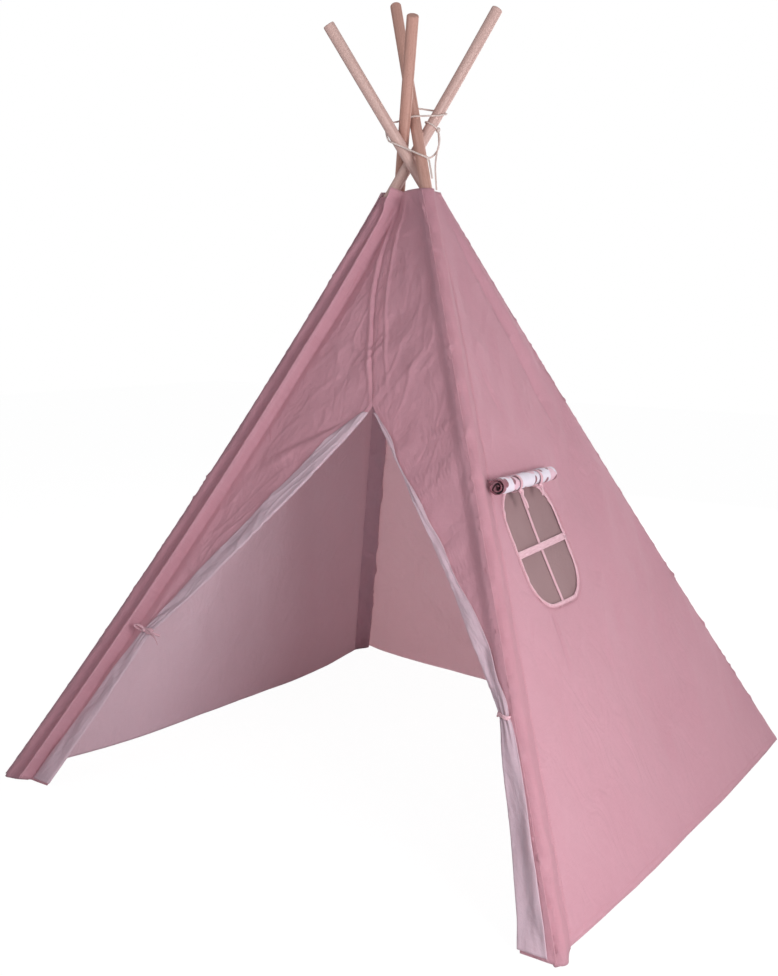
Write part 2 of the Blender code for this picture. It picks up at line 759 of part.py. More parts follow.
def blind_tie(name, share, tails, cloth):
    """Two ribbons from the blind's seam, one before and one behind the roll, knotted under it."""
    start, end = blind_line()
    along, out, up = blind_axes()
    centre = start.lerp(end, share)
    radius = BLIND_RADIUS * (1 - BLIND_PINCH) + GAP + RIBBON_THICKNESS / 2 + TIE_EASE

    def place(p, q):
        return centre + out * p + up * q

    def round_roll(first, last, count=8):
        turns = np.radians(np.linspace(first, last, count))
        return [place(radius * math.cos(a), radius * math.sin(a)) for a in turns]

    seam_at = CLOTH_FRONT - BLIND_STAND_OFF - BLIND_RADIUS
    before = [place(seam_at, BLIND_RADIUS + BLIND_HANG)]
    before += [place(seam_at * 0.90, BLIND_RADIUS * 1.45), place(seam_at * 0.45, BLIND_RADIUS * 1.28)]
    before += round_roll(70, TIE_KNOT_AT + 2)
    behind = round_roll(168, 360 + TIE_KNOT_AT)
    knot_turn = math.radians(TIE_KNOT_AT)
    knot_at = centre + (out * math.cos(knot_turn) + up * math.sin(knot_turn)) * radius * 1.1

    def hanging(tail, side):
        """One end of the ribbon below the knot, on this side of it."""
        path = []
        for t in np.linspace(0, 1, 5):
            aside = along * side * TIE_TAIL_APART * (1 + 2 * t)
            path.append(knot_at + aside - up * tail * t + out * 0.002 * math.sin(5 * t))
        return path, (along + out * 0.3 * side).normalized(), RIBBON_WIDTH * TAIL_SHARE

    strips = [(before, along, RIBBON_WIDTH), (behind, along, RIBBON_WIDTH)]
    strips += [hanging(tail, side) for tail, side in zip(tails, (-1, 1))]
    return knotted(name, knot_at, (along, out, up), BLIND_KNOT, strips, cloth)


def flap_width(side, height):
    """The folded flap is narrow at the apex, gathered at the tie and spread at the hem."""
    if abs(height - TIE_HEIGHT) < FLAP_TIED_OVER + GAP:
        return FLAP_TIED
    if height < TIE_HEIGHT:
        return FLAP_TIED + (FLAP_HEM - FLAP_TIED) * (1 - height / TIE_HEIGHT) ** 0.5
    down = (DOOR_APEX_HEIGHT - height) / (DOOR_APEX_HEIGHT - TIE_HEIGHT)
    full = math.sin(math.pi * down ** FLAP_FULLEST[side]) ** 0.8
    return FLAP_AT_APEX + (FLAP_TIED - FLAP_AT_APEX) * down + FLAP_WIDE[side] * full


def flap_frame(side, height):
    """The middle of the folded flap, the way to its free edge, and the way out of the wall."""
    start, end = wall_sides("front_left", height)
    across = (end - start).normalized() * (-1 if side == "left" else 1)
    out = wall_out("front_left", height)
    centre = wall_point("front_left", height, door_edge_share(side, height))
    centre += across * (flap_width(side, height) / 2 - FLAP_PROUD)
    return centre + out * (CLOTH / 2 + FLAP_EASE + FLAP_HALF), across, out


def flap_section(side, height, grown=0.0, sides=12):
    """Points round the folded flap in a level slice, from its free edge: an oblong with round ends."""
    centre, across, out = flap_frame(side, height)
    found = []
    for i in range(sides):
        turn = math.tau * i / 12
        p = math.copysign(abs(math.cos(turn)) ** 0.7, math.cos(turn))
        q = math.copysign(abs(math.sin(turn)) ** 0.7, math.sin(turn))
        reach = flap_width(side, height) / 2 + grown
        found.append(centre + across * p * reach + out * q * (FLAP_HALF + grown))
    return found


def door_flap(name, side, cloth):
    heights = [FLAP_ABOVE_FLOOR, 0.07, 0.14, 0.21, 0.27]
    heights += [TIE_HEIGHT - FLAP_TIED_OVER, TIE_HEIGHT, TIE_HEIGHT + FLAP_TIED_OVER]
    heights += list(np.linspace(TIE_HEIGHT + 0.04, DOOR_APEX_HEIGHT - 0.03, 9))
    return loft(name, [flap_section(side, z) for z in heights], cloth)


def door_tie(name, side, cloth):
    """A ribbon over the gathered flap, whose ends are sewn to the wall on both sides of it."""
    grown = GAP + RIBBON_THICKNESS / 2 + FLAP_TIE_EASE
    rows = []
    for height in (TIE_HEIGHT - RIBBON_WIDTH / 2, TIE_HEIGHT, TIE_HEIGHT + RIBBON_WIDTH / 2):
        half_way = flap_section(side, height, grown, sides=7)
        down = flap_frame(side, height)[2] * (FLAP_HALF + FLAP_EASE - GAP)
        rows.append([half_way[0] - down, *half_way, half_way[-1] - down])
    return sheet(name, rows, RIBBON_THICKNESS, cloth)


def door_bow(name, side, cloth):
    """A small bow on the tie: two loops and two tails, joined in a knot."""
    centre, across, out = flap_frame(side, TIE_HEIGHT)
    up = out.cross(across).normalized()
    if up.z < 0:
        up = -up
    proud = FLAP_HALF + 2 * GAP + RIBBON_THICKNESS + FLAP_TIE_EASE
    at = centre + out * (proud + BOW_KNOT[2])

    def loop(way, length, rise):
        turns = np.linspace(0.08, 1.92, 13) * math.pi
        return [
            at
            + way * length * (1 - math.cos(a)) / 2
            + up * (rise * length * (1 - math.cos(a)) / 2 + 0.16 * length * math.sin(a))
            + out * 0.06 * length * math.sin(a) ** 2
            for a in turns
        ]

    def tail(way, length, drop):
        return [
            at + way * length * t - up * drop * t * t + out * 0.004 * math.sin(math.pi * t)
            for t in np.linspace(0, 1, 6)
        ]

    width = RIBBON_WIDTH * TAIL_SHARE
    strips = [
        (loop(across, 0.024, 0.25), (out - up * 0.3).normalized(), width),
        (loop(-across, 0.022, -0.05), (out - up * 0.3).normalized(), width),
        (tail(-across, 0.038, 0.022), up, width),
        (tail(-across, 0.042, 0.004), up, width),
    ]
    return knotted(name, at, (across, up, out), BOW_KNOT, strips, cloth)


# The lashing


def on_pole(corner, height, side):
    """Where a cord lies on a pole: straight out from the centre line, farther where the pole leans that way."""
    clear = POLE_RADIUS + CORD_RADIUS + CORD_EASE
    facing = Vector((math.cos(side), math.sin(side), 0))
    lean = pole_direction(corner, height).dot(facing) / pole_direction(corner, height).z
    return pole_point(corner, height) + facing * clear * math.sqrt(1 + lean**2)


def lashing_points():
    """Arcs round each pole, with straight spans between the poles."""
    found = []
    for (corner, low, start), (onto, high, end) in zip(LASHING, LASHING[1:]):
        steps = max(1, round(abs(end - start) / CORD_STEP)) if corner == onto else 1
        for i in range(steps):
            side = math.radians(start + (end - start) * i / steps)
            found.append(on_pole(corner, low + (high - low) * i / steps, side))
    corner, height, side = LASHING[-1]
    return [*found, on_pole(corner, height, math.radians(side))]


def least_self_gap(points, diameter):
    """Between points of the cord that lie well apart along it."""
    at = np.array([tuple(p) for p in points])
    along = np.concatenate([[0], np.cumsum(np.linalg.norm(np.diff(at, axis=0), axis=1))])
    apart = np.linalg.norm(at[:, None] - at[None], axis=2)
    return float(apart[along[None] - along[:, None] > 6 * diameter].min()) - diameter


def lashing(cord):
    points = lashing_points()
    rod("lashing_cord", points, CORD_RADIUS, cord, sides=1)
    gap = least_self_gap(points, CORD_DIAMETER)
    print(f"lashing cord: least gap to itself {gap * 1000:.2f} mm")


def eased(points, steps=4):
    """A smooth path through the points."""
    at = [points[0], *points, points[-1]]
    found = [points[0]]
    for a, b, c, d in zip(at, at[1:], at[2:], at[3:]):
        for i in range(1, steps + 1):
            t = i / steps
            bend = (2 * a - 5 * b + 4 * c - d) * t**2 + (3 * b - a - 3 * c + d) * t**3
            found.append((2 * b + (c - a) * t + bend) / 2)
    return found


def lashing_knot(cord):
    """The cord's two ends: once round the front left pole, then hanging in two tails."""
    direction = pole_direction("front_left", KNOT_HEIGHT)
    faced = Vector((math.cos(KNOT_FACES), math.sin(KNOT_FACES), 0))
    away = (faced - direction * faced.dot(direction)).normalized()
    beside = direction.cross(away)
    radius = POLE_RADIUS + CORD_RADIUS + KNOT_EASE
    centre = pole_point("front_left", KNOT_HEIGHT)
    wound = [
        centre + (away * math.cos(a) + beside * math.sin(a)) * radius
        for a in np.linspace(KNOT_OPEN / 2, math.tau - KNOT_OPEN / 2, 17)
    ]

    def tail(start, way):
        return eased([start, *(start + faced * aside - UP * down for aside, down in way)])[1:]

    points = tail(wound[0], KNOT_TAILS[1])[::-1] + wound + tail(wound[-1], KNOT_TAILS[0])
    rod("lashing_knot", points, CORD_RADIUS, cord, sides=1)


# Each piece that moves hangs from an empty on its joint


def door_hinge(side):
    """The line through the doorway's edge at its apex and at its hem."""
    return [
        wall_point("front_left", height, door_edge_share(side, height))
        for height in (DOOR_APEX_HEIGHT, 0)
    ]


def hang(name, at, parent=None):
    empty = bpy.data.objects.new(name, None)
    TENT.objects.link(empty)
    empty.empty_display_size = 0.05
    empty.parent = parent
    empty.location = Vector(at) - (EMPTIES[parent.name] if parent else Vector())
    EMPTIES[name] = Vector(at)
    return empty


def put(empty, *names):
    for name in names:
        obj = bpy.data.objects[name]
        obj.parent = empty
        obj.location -= EMPTIES[empty.name]


# Assembly

WOOD = material("beech", (0.72, 0.45, 0.33), 0.55)
STEEL = material("ferrule_steel", (0.62, 0.62, 0.64), 0.35, 1.0)
ROSE = material("rose_cotton", (0.57, 0.29, 0.36), 0.85)
LINING = material("rose_cotton_wrong_side", (0.50, 0.38, 0.45), 0.88)
RIBBON = material("rose_ribbon", (0.60, 0.33, 0.38), 0.70)
NET = material("brown_net", (0.38, 0.26, 0.27), 0.85)
PRINT = material("printed_cotton", (0.80, 0.76, 0.80), 0.85)
CORD = material("lashing_cotton", (0.70, 0.58, 0.55), 0.85)
SPARE = material("cutter", (0.5, 0.5, 0.5), 0.5)

for corner_name in CORNERS:
    pole(corner_name, WOOD, STEEL)
    sleeve(corner_name, ROSE)

right_wall(ROSE)
wall("left_panel", "back_left", ROSE)
wall("back_right_panel", "back_right", ROSE, 0.0, 0.5 - CREASE / 2, columns=5)
wall("back_left_panel", "back_right", ROSE, 0.5 + CREASE / 2, 1.0, columns=5)
front_half("front_left_panel", "left", ROSE)
front_half("front_right_panel", "right", ROSE)
window_net(NET)
window_binding(RIBBON)
window_bars(RIBBON)
blind_roll(PRINT)
blind_tie("blind_tie_front", BLIND_TIES[0], (0.026, 0.014), RIBBON)
blind_tie("blind_tie_back", BLIND_TIES[1], (0.014, 0.008), RIBBON)
door_flap("left_door_flap", "left", LINING)
door_flap("right_door_flap", "right", LINING)
door_tie("left_door_tie", "left", RIBBON)
door_tie("right_door_tie", "right", RIBBON)
door_bow("left_door_bow", "left", RIBBON)
lashing(CORD)
lashing_knot(CORD)

EMPTIES = {}
right_frame = hang("right_frame", (0, 0, 0))
left_frame = hang("left_frame", PIVOT, right_frame)
front_left_half = hang("front_left_half", wall_sides("front_left", 0)[0], left_frame)
front_right_half = hang("front_right_half", wall_sides("front_left", 0)[1], right_frame)
back_right_half = hang("back_right_half", wall_sides("back_right", 0)[0], right_frame)
back_left_half = hang("back_left_half", wall_point("back_right", 0, 0.5), back_right_half)
left_door = hang("left_door", door_hinge("left")[0], front_left_half)
right_door = hang("right_door", door_hinge("right")[0], front_right_half)
window_blind = hang("window_blind", blind_hinge()[0], right_frame)

for corner_name in CORNERS:
    frame_empty = left_frame if "left" in corner_name else right_frame
    for half_name in ("lower", "upper", "ferrule"):
        put(frame_empty, f"pole_{corner_name}_{half_name}")
    put(frame_empty, f"sleeve_{corner_name}")
put(right_frame, "right_panel", "window_net", "window_binding", "window_bar_vertical")
put(right_frame, "window_bar_horizontal", "lashing_cord")
put(left_frame, "left_panel", "lashing_knot")
put(front_left_half, "front_left_panel")
put(front_right_half, "front_right_panel")
put(back_right_half, "back_right_panel")
put(back_left_half, "back_left_panel")
put(left_door, "left_door_flap", "left_door_tie", "left_door_bow")
put(right_door, "right_door_flap", "right_door_tie")
put(window_blind, "window_blind_roll", "blind_tie_front", "blind_tie_back")
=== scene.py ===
# %% [markdown]
# # A children's pole tent
#
# Four beech poles cross under a cord lashing and carry a cotton cover. Each corner of the cover is a sleeve
# round its pole, and each wall is one sheet between two sleeves. This lesson builds the cloth, the ribbons,
# the cord and the wood as surfaces worked out with numpy, on top of a plain model that is loaded first.

import math

import bpy
import numpy as np
from mathutils import Matrix, Vector

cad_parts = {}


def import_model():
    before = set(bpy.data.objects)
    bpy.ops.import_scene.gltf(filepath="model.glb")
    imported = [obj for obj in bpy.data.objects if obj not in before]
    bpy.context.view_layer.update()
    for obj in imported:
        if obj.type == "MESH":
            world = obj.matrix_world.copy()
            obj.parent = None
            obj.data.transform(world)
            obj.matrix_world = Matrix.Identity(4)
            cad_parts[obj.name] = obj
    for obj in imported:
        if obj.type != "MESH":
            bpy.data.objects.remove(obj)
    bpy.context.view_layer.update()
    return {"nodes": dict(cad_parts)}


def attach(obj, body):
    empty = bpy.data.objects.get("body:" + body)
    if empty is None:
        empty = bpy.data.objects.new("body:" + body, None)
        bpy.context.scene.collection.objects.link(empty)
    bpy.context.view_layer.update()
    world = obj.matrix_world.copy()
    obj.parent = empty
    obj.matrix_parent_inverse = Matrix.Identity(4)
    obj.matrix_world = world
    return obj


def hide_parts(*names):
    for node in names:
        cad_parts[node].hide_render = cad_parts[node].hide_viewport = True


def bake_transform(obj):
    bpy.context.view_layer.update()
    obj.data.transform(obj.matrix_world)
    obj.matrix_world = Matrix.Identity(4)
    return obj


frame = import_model()
TAU = math.tau
CORNERS = ("front_left", "front_right", "back_right", "back_left")

# %% [markdown]
# ## Camera, light and floor
#
# The camera stands a little above the door, to the right, as a person does who photographs the whole tent.
# A soft lamp, low on the right, lights the window wall and grazes the front. One behind the tent shines
# through the cloth, so the inside glows, and a weak one in front looks in at the doorway. The world lights
# all sides evenly, as white studio walls do. The floor and the world look white to the camera only.

# %% Camera
CAMERA_PLACE = (1.3092, -2.0109, 0.9530)
CAMERA_RIGHT = (0.82275, 0.56826, 0.01263)
CAMERA_UP = (-0.11167, 0.13981, 0.98386)
CAMERA_BACK = (0.55733, -0.81088, 0.17849)

camera_data = bpy.data.cameras.new("camera")
camera_data.sensor_fit = "HORIZONTAL"
camera_data.sensor_width = 36
camera_data.lens = 54.16
camera_data.shift_x = -0.0100
camera_data.shift_y = 0.0396
camera = bpy.data.objects.new("camera", camera_data)
bpy.context.scene.collection.objects.link(camera)
camera_turn = Matrix((CAMERA_RIGHT, CAMERA_UP, CAMERA_BACK)).transposed().to_4x4()
camera.matrix_world = Matrix.Translation(CAMERA_PLACE) @ camera_turn
bpy.context.scene.camera = camera
print("camera stands at", CAMERA_PLACE)

# %% Light


def lamp(name, place, aim, size, power):
    """A square lamp of this size, turned towards a point."""
    data = bpy.data.lights.new(name, "AREA")
    data.size = size
    data.energy = power
    made = bpy.data.objects.new(name, data)
    bpy.context.scene.collection.objects.link(made)
    made.location = place
    made.rotation_mode = "QUATERNION"
    made.rotation_quaternion = (Vector(aim) - Vector(place)).to_track_quat("-Z", "Y")


lamp("lamp_right", (2.15, -1.15, 0.85), (0.4, -0.3, 0.4), 0.8, 37)
lamp("lamp_front", (-0.3, -3.0, 2.4), (0.0, -0.1, 1.0), 1.4, 14)
lamp("lamp_behind", (-0.1, 3.2, 1.4), (0.0, 0.5, 0.4), 1.6, 84)
print("lamps:", [light.name for light in bpy.data.lights])

world = bpy.data.worlds.new("studio")
bpy.context.scene.world = world
world.use_nodes = True
world_tree = world.node_tree
rays = world_tree.nodes.new("ShaderNodeLightPath")
white = world_tree.nodes.new("ShaderNodeBackground")
white.inputs["Color"].default_value = (1, 1, 1, 1)
soft = world_tree.nodes["Background"]
soft.inputs["Color"].default_value = (0.96, 0.97, 1, 1)
soft.inputs["Strength"].default_value = 0.37
either = world_tree.nodes.new("ShaderNodeMixShader")
seen = world_tree.nodes.new("ShaderNodeMath")
seen.operation = "MAXIMUM"
world_tree.links.new(rays.outputs["Is Camera Ray"], seen.inputs[0])
world_tree.links.new(rays.outputs["Is Glossy Ray"], seen.inputs[1])
world_tree.links.new(seen.outputs[0], either.inputs[0])
world_tree.links.new(soft.outputs[0], either.inputs[1])
world_tree.links.new(white.outputs[0], either.inputs[2])
world_tree.links.new(either.outputs[0], world_tree.nodes["World Output"].inputs["Surface"])
bpy.context.scene.view_settings.view_transform = "Standard"

# %% Floor
floor_mesh = bpy.data.meshes.new("floor")
floor_mesh.from_pydata([(-9, -9, 0), (9, -9, 0), (9, 9, 0), (-9, 9, 0)], [], [(0, 1, 2, 3)])
floor = bpy.data.objects.new("floor", floor_mesh)
bpy.context.scene.collection.objects.link(floor)
floor_paint = bpy.data.materials.new("white_floor")
floor_paint.use_nodes = True
floor_tree = floor_paint.node_tree
matt = floor_tree.nodes["Principled BSDF"]
matt.inputs["Base Color"].default_value = (0.88, 0.88, 0.88, 1)
matt.inputs["Roughness"].default_value = 1
matt.inputs["Specular IOR Level"].default_value = 0
floor_glow = floor_tree.nodes.new("ShaderNodeEmission")
floor_glow.inputs["Strength"].default_value = 1.05
floor_rays = floor_tree.nodes.new("ShaderNodeLightPath")
floor_share = floor_tree.nodes.new("ShaderNodeMath")
floor_share.operation = "MULTIPLY"
floor_share.inputs[1].default_value = 0.92
floor_mix = floor_tree.nodes.new("ShaderNodeMixShader")
floor_tree.links.new(floor_rays.outputs["Is Camera Ray"], floor_share.inputs[0])
floor_tree.links.new(floor_share.outputs[0], floor_mix.inputs[0])
floor_tree.links.new(matt.outputs[0], floor_mix.inputs[1])
floor_tree.links.new(floor_glow.outputs[0], floor_mix.inputs[2])
floor_tree.links.new(floor_mix.outputs[0], floor_tree.nodes["Material Output"].inputs["Surface"])
floor_mesh.materials.append(floor_paint)
print("floor:", floor_paint.name)

# %% [markdown]
# ## Where the poles and the cloth run
#
# Everything hangs on four slightly bowed lines, the poles' axes. A point of the cover is given by its wall,
# its height, how far it is across the wall, and how far it stands out. These functions take whole arrays.

# %% Pole lines
FOOT = {
    "front_left": (-0.611, -0.587, 0),
    "front_right": (0.611, -0.555, 0),
    "back_right": (0.578, 0.550, 0),
    "back_left": (-0.584, 0.587, 0),
}
CROSSING = {
    "front_left": (-0.0026, -0.0724, 1.255),
    "front_right": (0.0308, -0.0915, 1.255),
    "back_right": (0.0002, -0.1035, 1.255),
    "back_left": (-0.0187, -0.0752, 1.255),
}
POLE_LENGTH = {"front_left": 1.79, "front_right": 1.79, "back_right": 1.78, "back_left": 1.78}
BOW = {"front_left": 0.030, "front_right": 0.006, "back_right": 0.010, "back_left": 0.006}
POLE_RADIUS = 0.011


def unit(vectors):
    """Each vector divided by its length."""
    return vectors / np.linalg.norm(vectors, axis=-1, keepdims=True)


def dot(a, b):
    """The products of two vectors' coordinates, added up and kept as a column."""
    return (a * b).sum(-1, keepdims=True)


def smooth(x):
    """0 below 0, 1 above 1 and an even S between."""
    x = np.clip(x, 0, 1)
    return x * x * (3 - 2 * x)


def pole_top(corner):
    """The foot plus the pole's length along the line to its place in the crossing."""
    foot = np.array(FOOT[corner], float)
    return foot + unit(np.array(CROSSING[corner]) - foot) * POLE_LENGTH[corner]


def pole_point(corner, z):
    """The pole's axis at height z: a straight line from foot to top, plus an inward parabola, the bow."""
    z = np.asarray(z, float)[..., None]
    foot, top = np.array(FOOT[corner], float), pole_top(corner)
    share = z / top[2]
    inward = unit(-np.sign(foot) * (1, 1, 0))
    return foot + (top - foot) * share + inward * 4 * share * (1 - share) * BOW[corner]


def pole_way(corner, z):
    """The pole's direction at height z, from two points of its axis."""
    z = np.asarray(z, float)
    return unit(pole_point(corner, z + 0.001) - pole_point(corner, z - 0.001))


# %% Sleeves and walls between the poles
SLEEVE_OUTER = 0.016
SLEEVE_RADIUS = 0.0143
INNER_SEAM = 0.038
INNER_SEAM_NARROWS = 0.011
NARROWS_FROM = 0.95
CLEAR_AT_START = 0.0008
CLEAR_AT_END = 0.0018
COVER_TOP = 1.170
HEM = 0.0015
DOOR_APEX = 0.773
TIE_HEIGHT = 0.316
BELLY = {"front_left": 0.0, "front_right": 0.010, "back_right": -0.055, "back_left": -0.055}


def after(corner):
    """The next corner, anticlockwise as seen from above."""
    return CORNERS[(CORNERS.index(corner) + 1) % 4]


def before(corner):
    """The corner that this one comes after."""
    return CORNERS[CORNERS.index(corner) - 1]


def wall_axes(corner, z):
    """Across the wall that starts at this pole and out of it, both square to the pole, and the pole's way."""
    along = (pole_point(after(corner), z) - pole_point(corner, z)) * (1, 1, 0)
    way = pole_way(corner, z)
    across = unit(along - way * dot(along, way))
    return across, np.cross(across, way), way


def beside_pole(corner, z, across, out=0.0):
    """The point at height z that lies this far across the wall and out of it, measured square to the pole."""
    side, face, way = wall_axes(corner, z)
    off = side * np.asarray(across)[..., None] + face * np.asarray(out)[..., None]
    return pole_point(corner, z) + off - way * (off[..., 2:] / way[..., 2:])


def sleeve_inner(z):
    """From the pole's axis to the inner seam: even up to a height, then less in a straight line."""
    up = np.clip((np.asarray(z) - NARROWS_FROM) / (COVER_TOP - NARROWS_FROM), 0, 1)
    return INNER_SEAM - INNER_SEAM_NARROWS * up


def outer_seam_angle(corner, z):
    """Round the pole, the outer seam faces out of the wall that comes before."""
    side, face, way = wall_axes(corner, z)
    along = pole_point(corner, z) - pole_point(before(corner), z)
    faced = unit(np.cross(along, way + pole_way(before(corner), z)))
    return np.arctan2(dot(faced, face), dot(faced, side))[..., 0]


def wall_sides(corner, z):
    """Where a wall starts and ends at height z: its sleeve's inner seam and the next one's outer seam."""
    start = beside_pole(corner, z, sleeve_inner(z) + CLEAR_AT_START)
    turn = outer_seam_angle(after(corner), z)
    reach = SLEEVE_OUTER + CLEAR_AT_END
    return start, beside_pole(after(corner), z, reach * np.cos(turn), reach * np.sin(turn))


def wall_width(corner, z):
    """The straight distance between a wall's two seams at height z."""
    start, end = wall_sides(corner, z)
    return np.linalg.norm(end - start, axis=-1)


def wall_point(corner, z, share, out=0.0):
    """A share of the way across the wall at height z, out by a level belly, or sag, that grows to the hem."""
    start, end = wall_sides(corner, z)
    rise = pole_way(corner, z) + pole_way(after(corner), z)
    face = unit(np.cross(end - start, rise))
    share, z = np.asarray(share, float)[..., None], np.asarray(z, float)[..., None]
    belly = BELLY[corner] * (1 - np.abs(2 * share - 1) ** 3) * (1 - z / COVER_TOP) ** 2
    level = unit(face * (1, 1, 0))
    return start + (end - start) * share + level * belly + face * np.asarray(out)[..., None]


print("wall widths at the hem:", {c: round(float(wall_width(c, 0.0)), 3) for c in CORNERS})

# %% [markdown]
# ## From grids to meshes
#
# A grid of points becomes a mesh whose faces are the grid's cells. A sheet of cloth could be a plane with a
# Solidify modifier, but a rim made with the sheet keeps its UV map and stays clean where an opening is cut.
# So cloth is the grid twice, half its thickness to each side, with a rim round every open edge. Its UV map is
# in metres, and a weave keeps its size on it.

# %% Cells and meshes


def grid_cells(rows, columns, wrap=False):
    """Corner numbers of every cell, anticlockwise, and the same with the joint column there twice."""
    r, c = np.meshgrid(np.arange(rows - 1), np.arange(columns if wrap else columns - 1), indexing="ij")
    next_c = (c + 1) % columns
    low, high = r * columns, (r + 1) * columns
    own = np.stack([low + c, low + next_c, high + next_c, high + c], -1)
    wide = columns + 1 if wrap else columns
    low, high = r * wide, (r + 1) * wide
    laid = np.stack([low + c, low + c + 1, high + c + 1, high + c], -1)
    return own.reshape(-1, 4), laid.reshape(-1, 4)


def add_mesh(name, points, faces, uvs, materials, kinds=None):
    """One object from points and lists of face arrays, with the UV of each corner and a material number."""
    triangles = np.concatenate([f[:, [0, i, i + 1]] for f in faces for i in range(1, f.shape[1] - 1)])
    a, b, c = (points[triangles[:, i]] for i in range(3))
    if (a * np.cross(b, c)).sum() < 0:
        faces, uvs = [f[:, ::-1] for f in faces], [u[:, ::-1] for u in uvs]
    mesh = bpy.data.meshes.new(name)
    mesh.vertices.add(len(points))
    mesh.vertices.foreach_set("co", np.ascontiguousarray(points, np.float32).ravel())
    loops = np.concatenate([f.ravel() for f in faces]).astype(np.int32)
    sizes = np.concatenate([np.full(len(f), f.shape[1]) for f in faces])
    mesh.loops.add(len(loops))
    mesh.loops.foreach_set("vertex_index", loops)
    mesh.polygons.add(len(sizes))
    mesh.polygons.foreach_set("loop_start", (np.cumsum(sizes) - sizes).astype(np.int32))
    mesh.polygons.foreach_set("use_smooth", np.ones(len(sizes), bool))
    if kinds is not None:
        mesh.polygons.foreach_set("material_index", np.concatenate(kinds).astype(np.int32))
    layer = mesh.uv_layers.new(name="metres")
    layer.uv.foreach_set("vector", np.concatenate([u.reshape(-1, 2) for u in uvs]).astype(np.float32).ravel())
    mesh.update(calc_edges=True)
    mesh.validate()
    made = bpy.data.objects.new(name, mesh)
    bpy.context.scene.collection.objects.link(made)
    for finish in materials:
        mesh.materials.append(finish)
    return made


# %% Sheets of cloth


def grid_normals(points):
    """Across times up, on a grid whose columns go across and whose rows go up."""
    return unit(np.cross(np.gradient(points, axis=1), np.gradient(points, axis=0)))


def edge_strips(keep, columns, total):
    """Rim faces along each edge between a kept cell and none, as corner numbers of both grids."""
    padded = np.pad(keep, 1)
    strips = []
    for along_rows in (True, False):
        low = padded[1:-1, :-1] if along_rows else padded[:-1, 1:-1]
        high = padded[1:-1, 1:] if along_rows else padded[1:, 1:-1]
        r, c = np.nonzero(low != high)
        one = r * columns + c
        two = (r + 1) * columns + c if along_rows else r * columns + c + 1
        turned = high[r, c] if along_rows else ~high[r, c]
        first, second = np.where(turned, one, two), np.where(turned, two, one)
        strips.append(np.stack([first, second, second + total, first + total], -1))
    return np.concatenate(strips)


def cloth(name, middle, uv, thickness, outside, inside, keep=None):
    """A sheet: the grid moved half its thickness along its normals to both sides, and a rim between."""
    rows, columns = middle.shape[:2]
    total = rows * columns
    normals = grid_normals(middle) * np.asarray(thickness)[..., None] / 2
    points = np.concatenate([(middle + normals).reshape(-1, 3), (middle - normals).reshape(-1, 3)])
    keep = np.ones((rows - 1, columns - 1), bool) if keep is None else keep
    cells = grid_cells(rows, columns)[0][keep.ravel()]
    strips = edge_strips(keep, columns, total)
    faces = np.concatenate([cells, cells[:, ::-1] + total, strips])
    kinds = np.repeat([0, 1, 0], [len(cells), len(cells), len(strips)])
    used, numbers = np.unique(faces, return_inverse=True)
    corners = uv.reshape(-1, 2)[faces % total]
    return add_mesh(name, points[used], [numbers.reshape(-1, 4)], [corners], (outside, inside), [kinds])


# %% Tubes along a path


def frames(path, towards):
    """Along the path, towards a given side and square to both, at each of its points."""
    ahead = unit(np.gradient(path, axis=0))
    side = np.broadcast_to(np.asarray(towards, float), path.shape)
    side = unit(side - ahead * dot(side, ahead))
    return ahead, side, np.cross(ahead, side)


def lengths(path):
    """How far along a path each of its points is."""
    steps = np.linalg.norm(np.diff(path, axis=0), axis=-1)
    return np.concatenate([[0], np.cumsum(steps)])


def tube(name, path, radius, towards, finish, sides=16, strands=0, lay=0.012):
    """A ring round each point of the path. With strands it has that many lobes, which turn once a lay."""
    _, side, lift = frames(path, towards)
    along = lengths(path)
    turn = np.linspace(0, TAU, sides, endpoint=False)
    reach = np.broadcast_to(radius, len(path))[:, None] * np.ones(sides)
    if strands:
        phase = strands * (turn[None] / 2 - np.pi * along[:, None] / lay)
        reach = reach * (0.80 + 0.20 * np.abs(np.cos(phase)))
    ring = side[:, None] * np.cos(turn)[:, None] + lift[:, None] * np.sin(turn)[:, None]
    points = path[:, None] + ring * reach[..., None]
    own, laid = grid_cells(len(path), sides, wrap=True)
    across = np.linspace(0, TAU, sides + 1) * float(np.max(radius))
    uv = np.stack(np.broadcast_arrays(across[None], along[:, None]), -1).reshape(-1, 2)
    caps = [np.arange(sides)[None, ::-1], (len(path) - 1) * sides + np.arange(sides)[None]]
    cap_uv = [np.stack([np.cos(turn), np.sin(turn)], -1)[None] * float(np.max(radius)) for _ in caps]
    return add_mesh(name, points.reshape(-1, 3), [own, *caps], [uv[laid], *cap_uv], (finish,))


# %% [markdown]
# ## Finishes
#
# All of the cover is one plain-woven cotton, dyed rose. Its yarns differ a little in thickness and in how
# much dye they took, which gives short pale and dark streaks both ways. The wrong side of the cloth is greyer
# and paler. Thin cotton also lets light through, so the inside of the tent glows. Patterns read the UV map in
# metres, so they follow the cloth round a fold. An image of cloth, repeated over so large a piece, would show
# that it repeats, and noise doesn't.

# %% Nodes for a finish


def add_node(tree, kind, inputs=(), **settings):
    """A node with its settings, and its inputs set to a value or joined to another node's output."""
    made = tree.nodes.new(kind)
    for key, value in settings.items():
        setattr(made, key, value)
    for key, value in dict(inputs).items():
        if isinstance(value, bpy.types.NodeSocket):
            tree.links.new(value, made.inputs[key])
        else:
            made.inputs[key].default_value = value
    return made


def maths(tree, operation, first, second=0.0, third=0.0):
    """One sum, product or other operation on two or three numbers or outputs."""
    return add_node(tree, "ShaderNodeMath", {0: first, 1: second, 2: third}, operation=operation).outputs[0]


def mixed(tree, share, first, second):
    """Two colours mixed. A share is a number or another node's output."""
    values = {0: share, 6: first, 7: second}
    return add_node(tree, "ShaderNodeMix", values, data_type="RGBA").outputs[2]


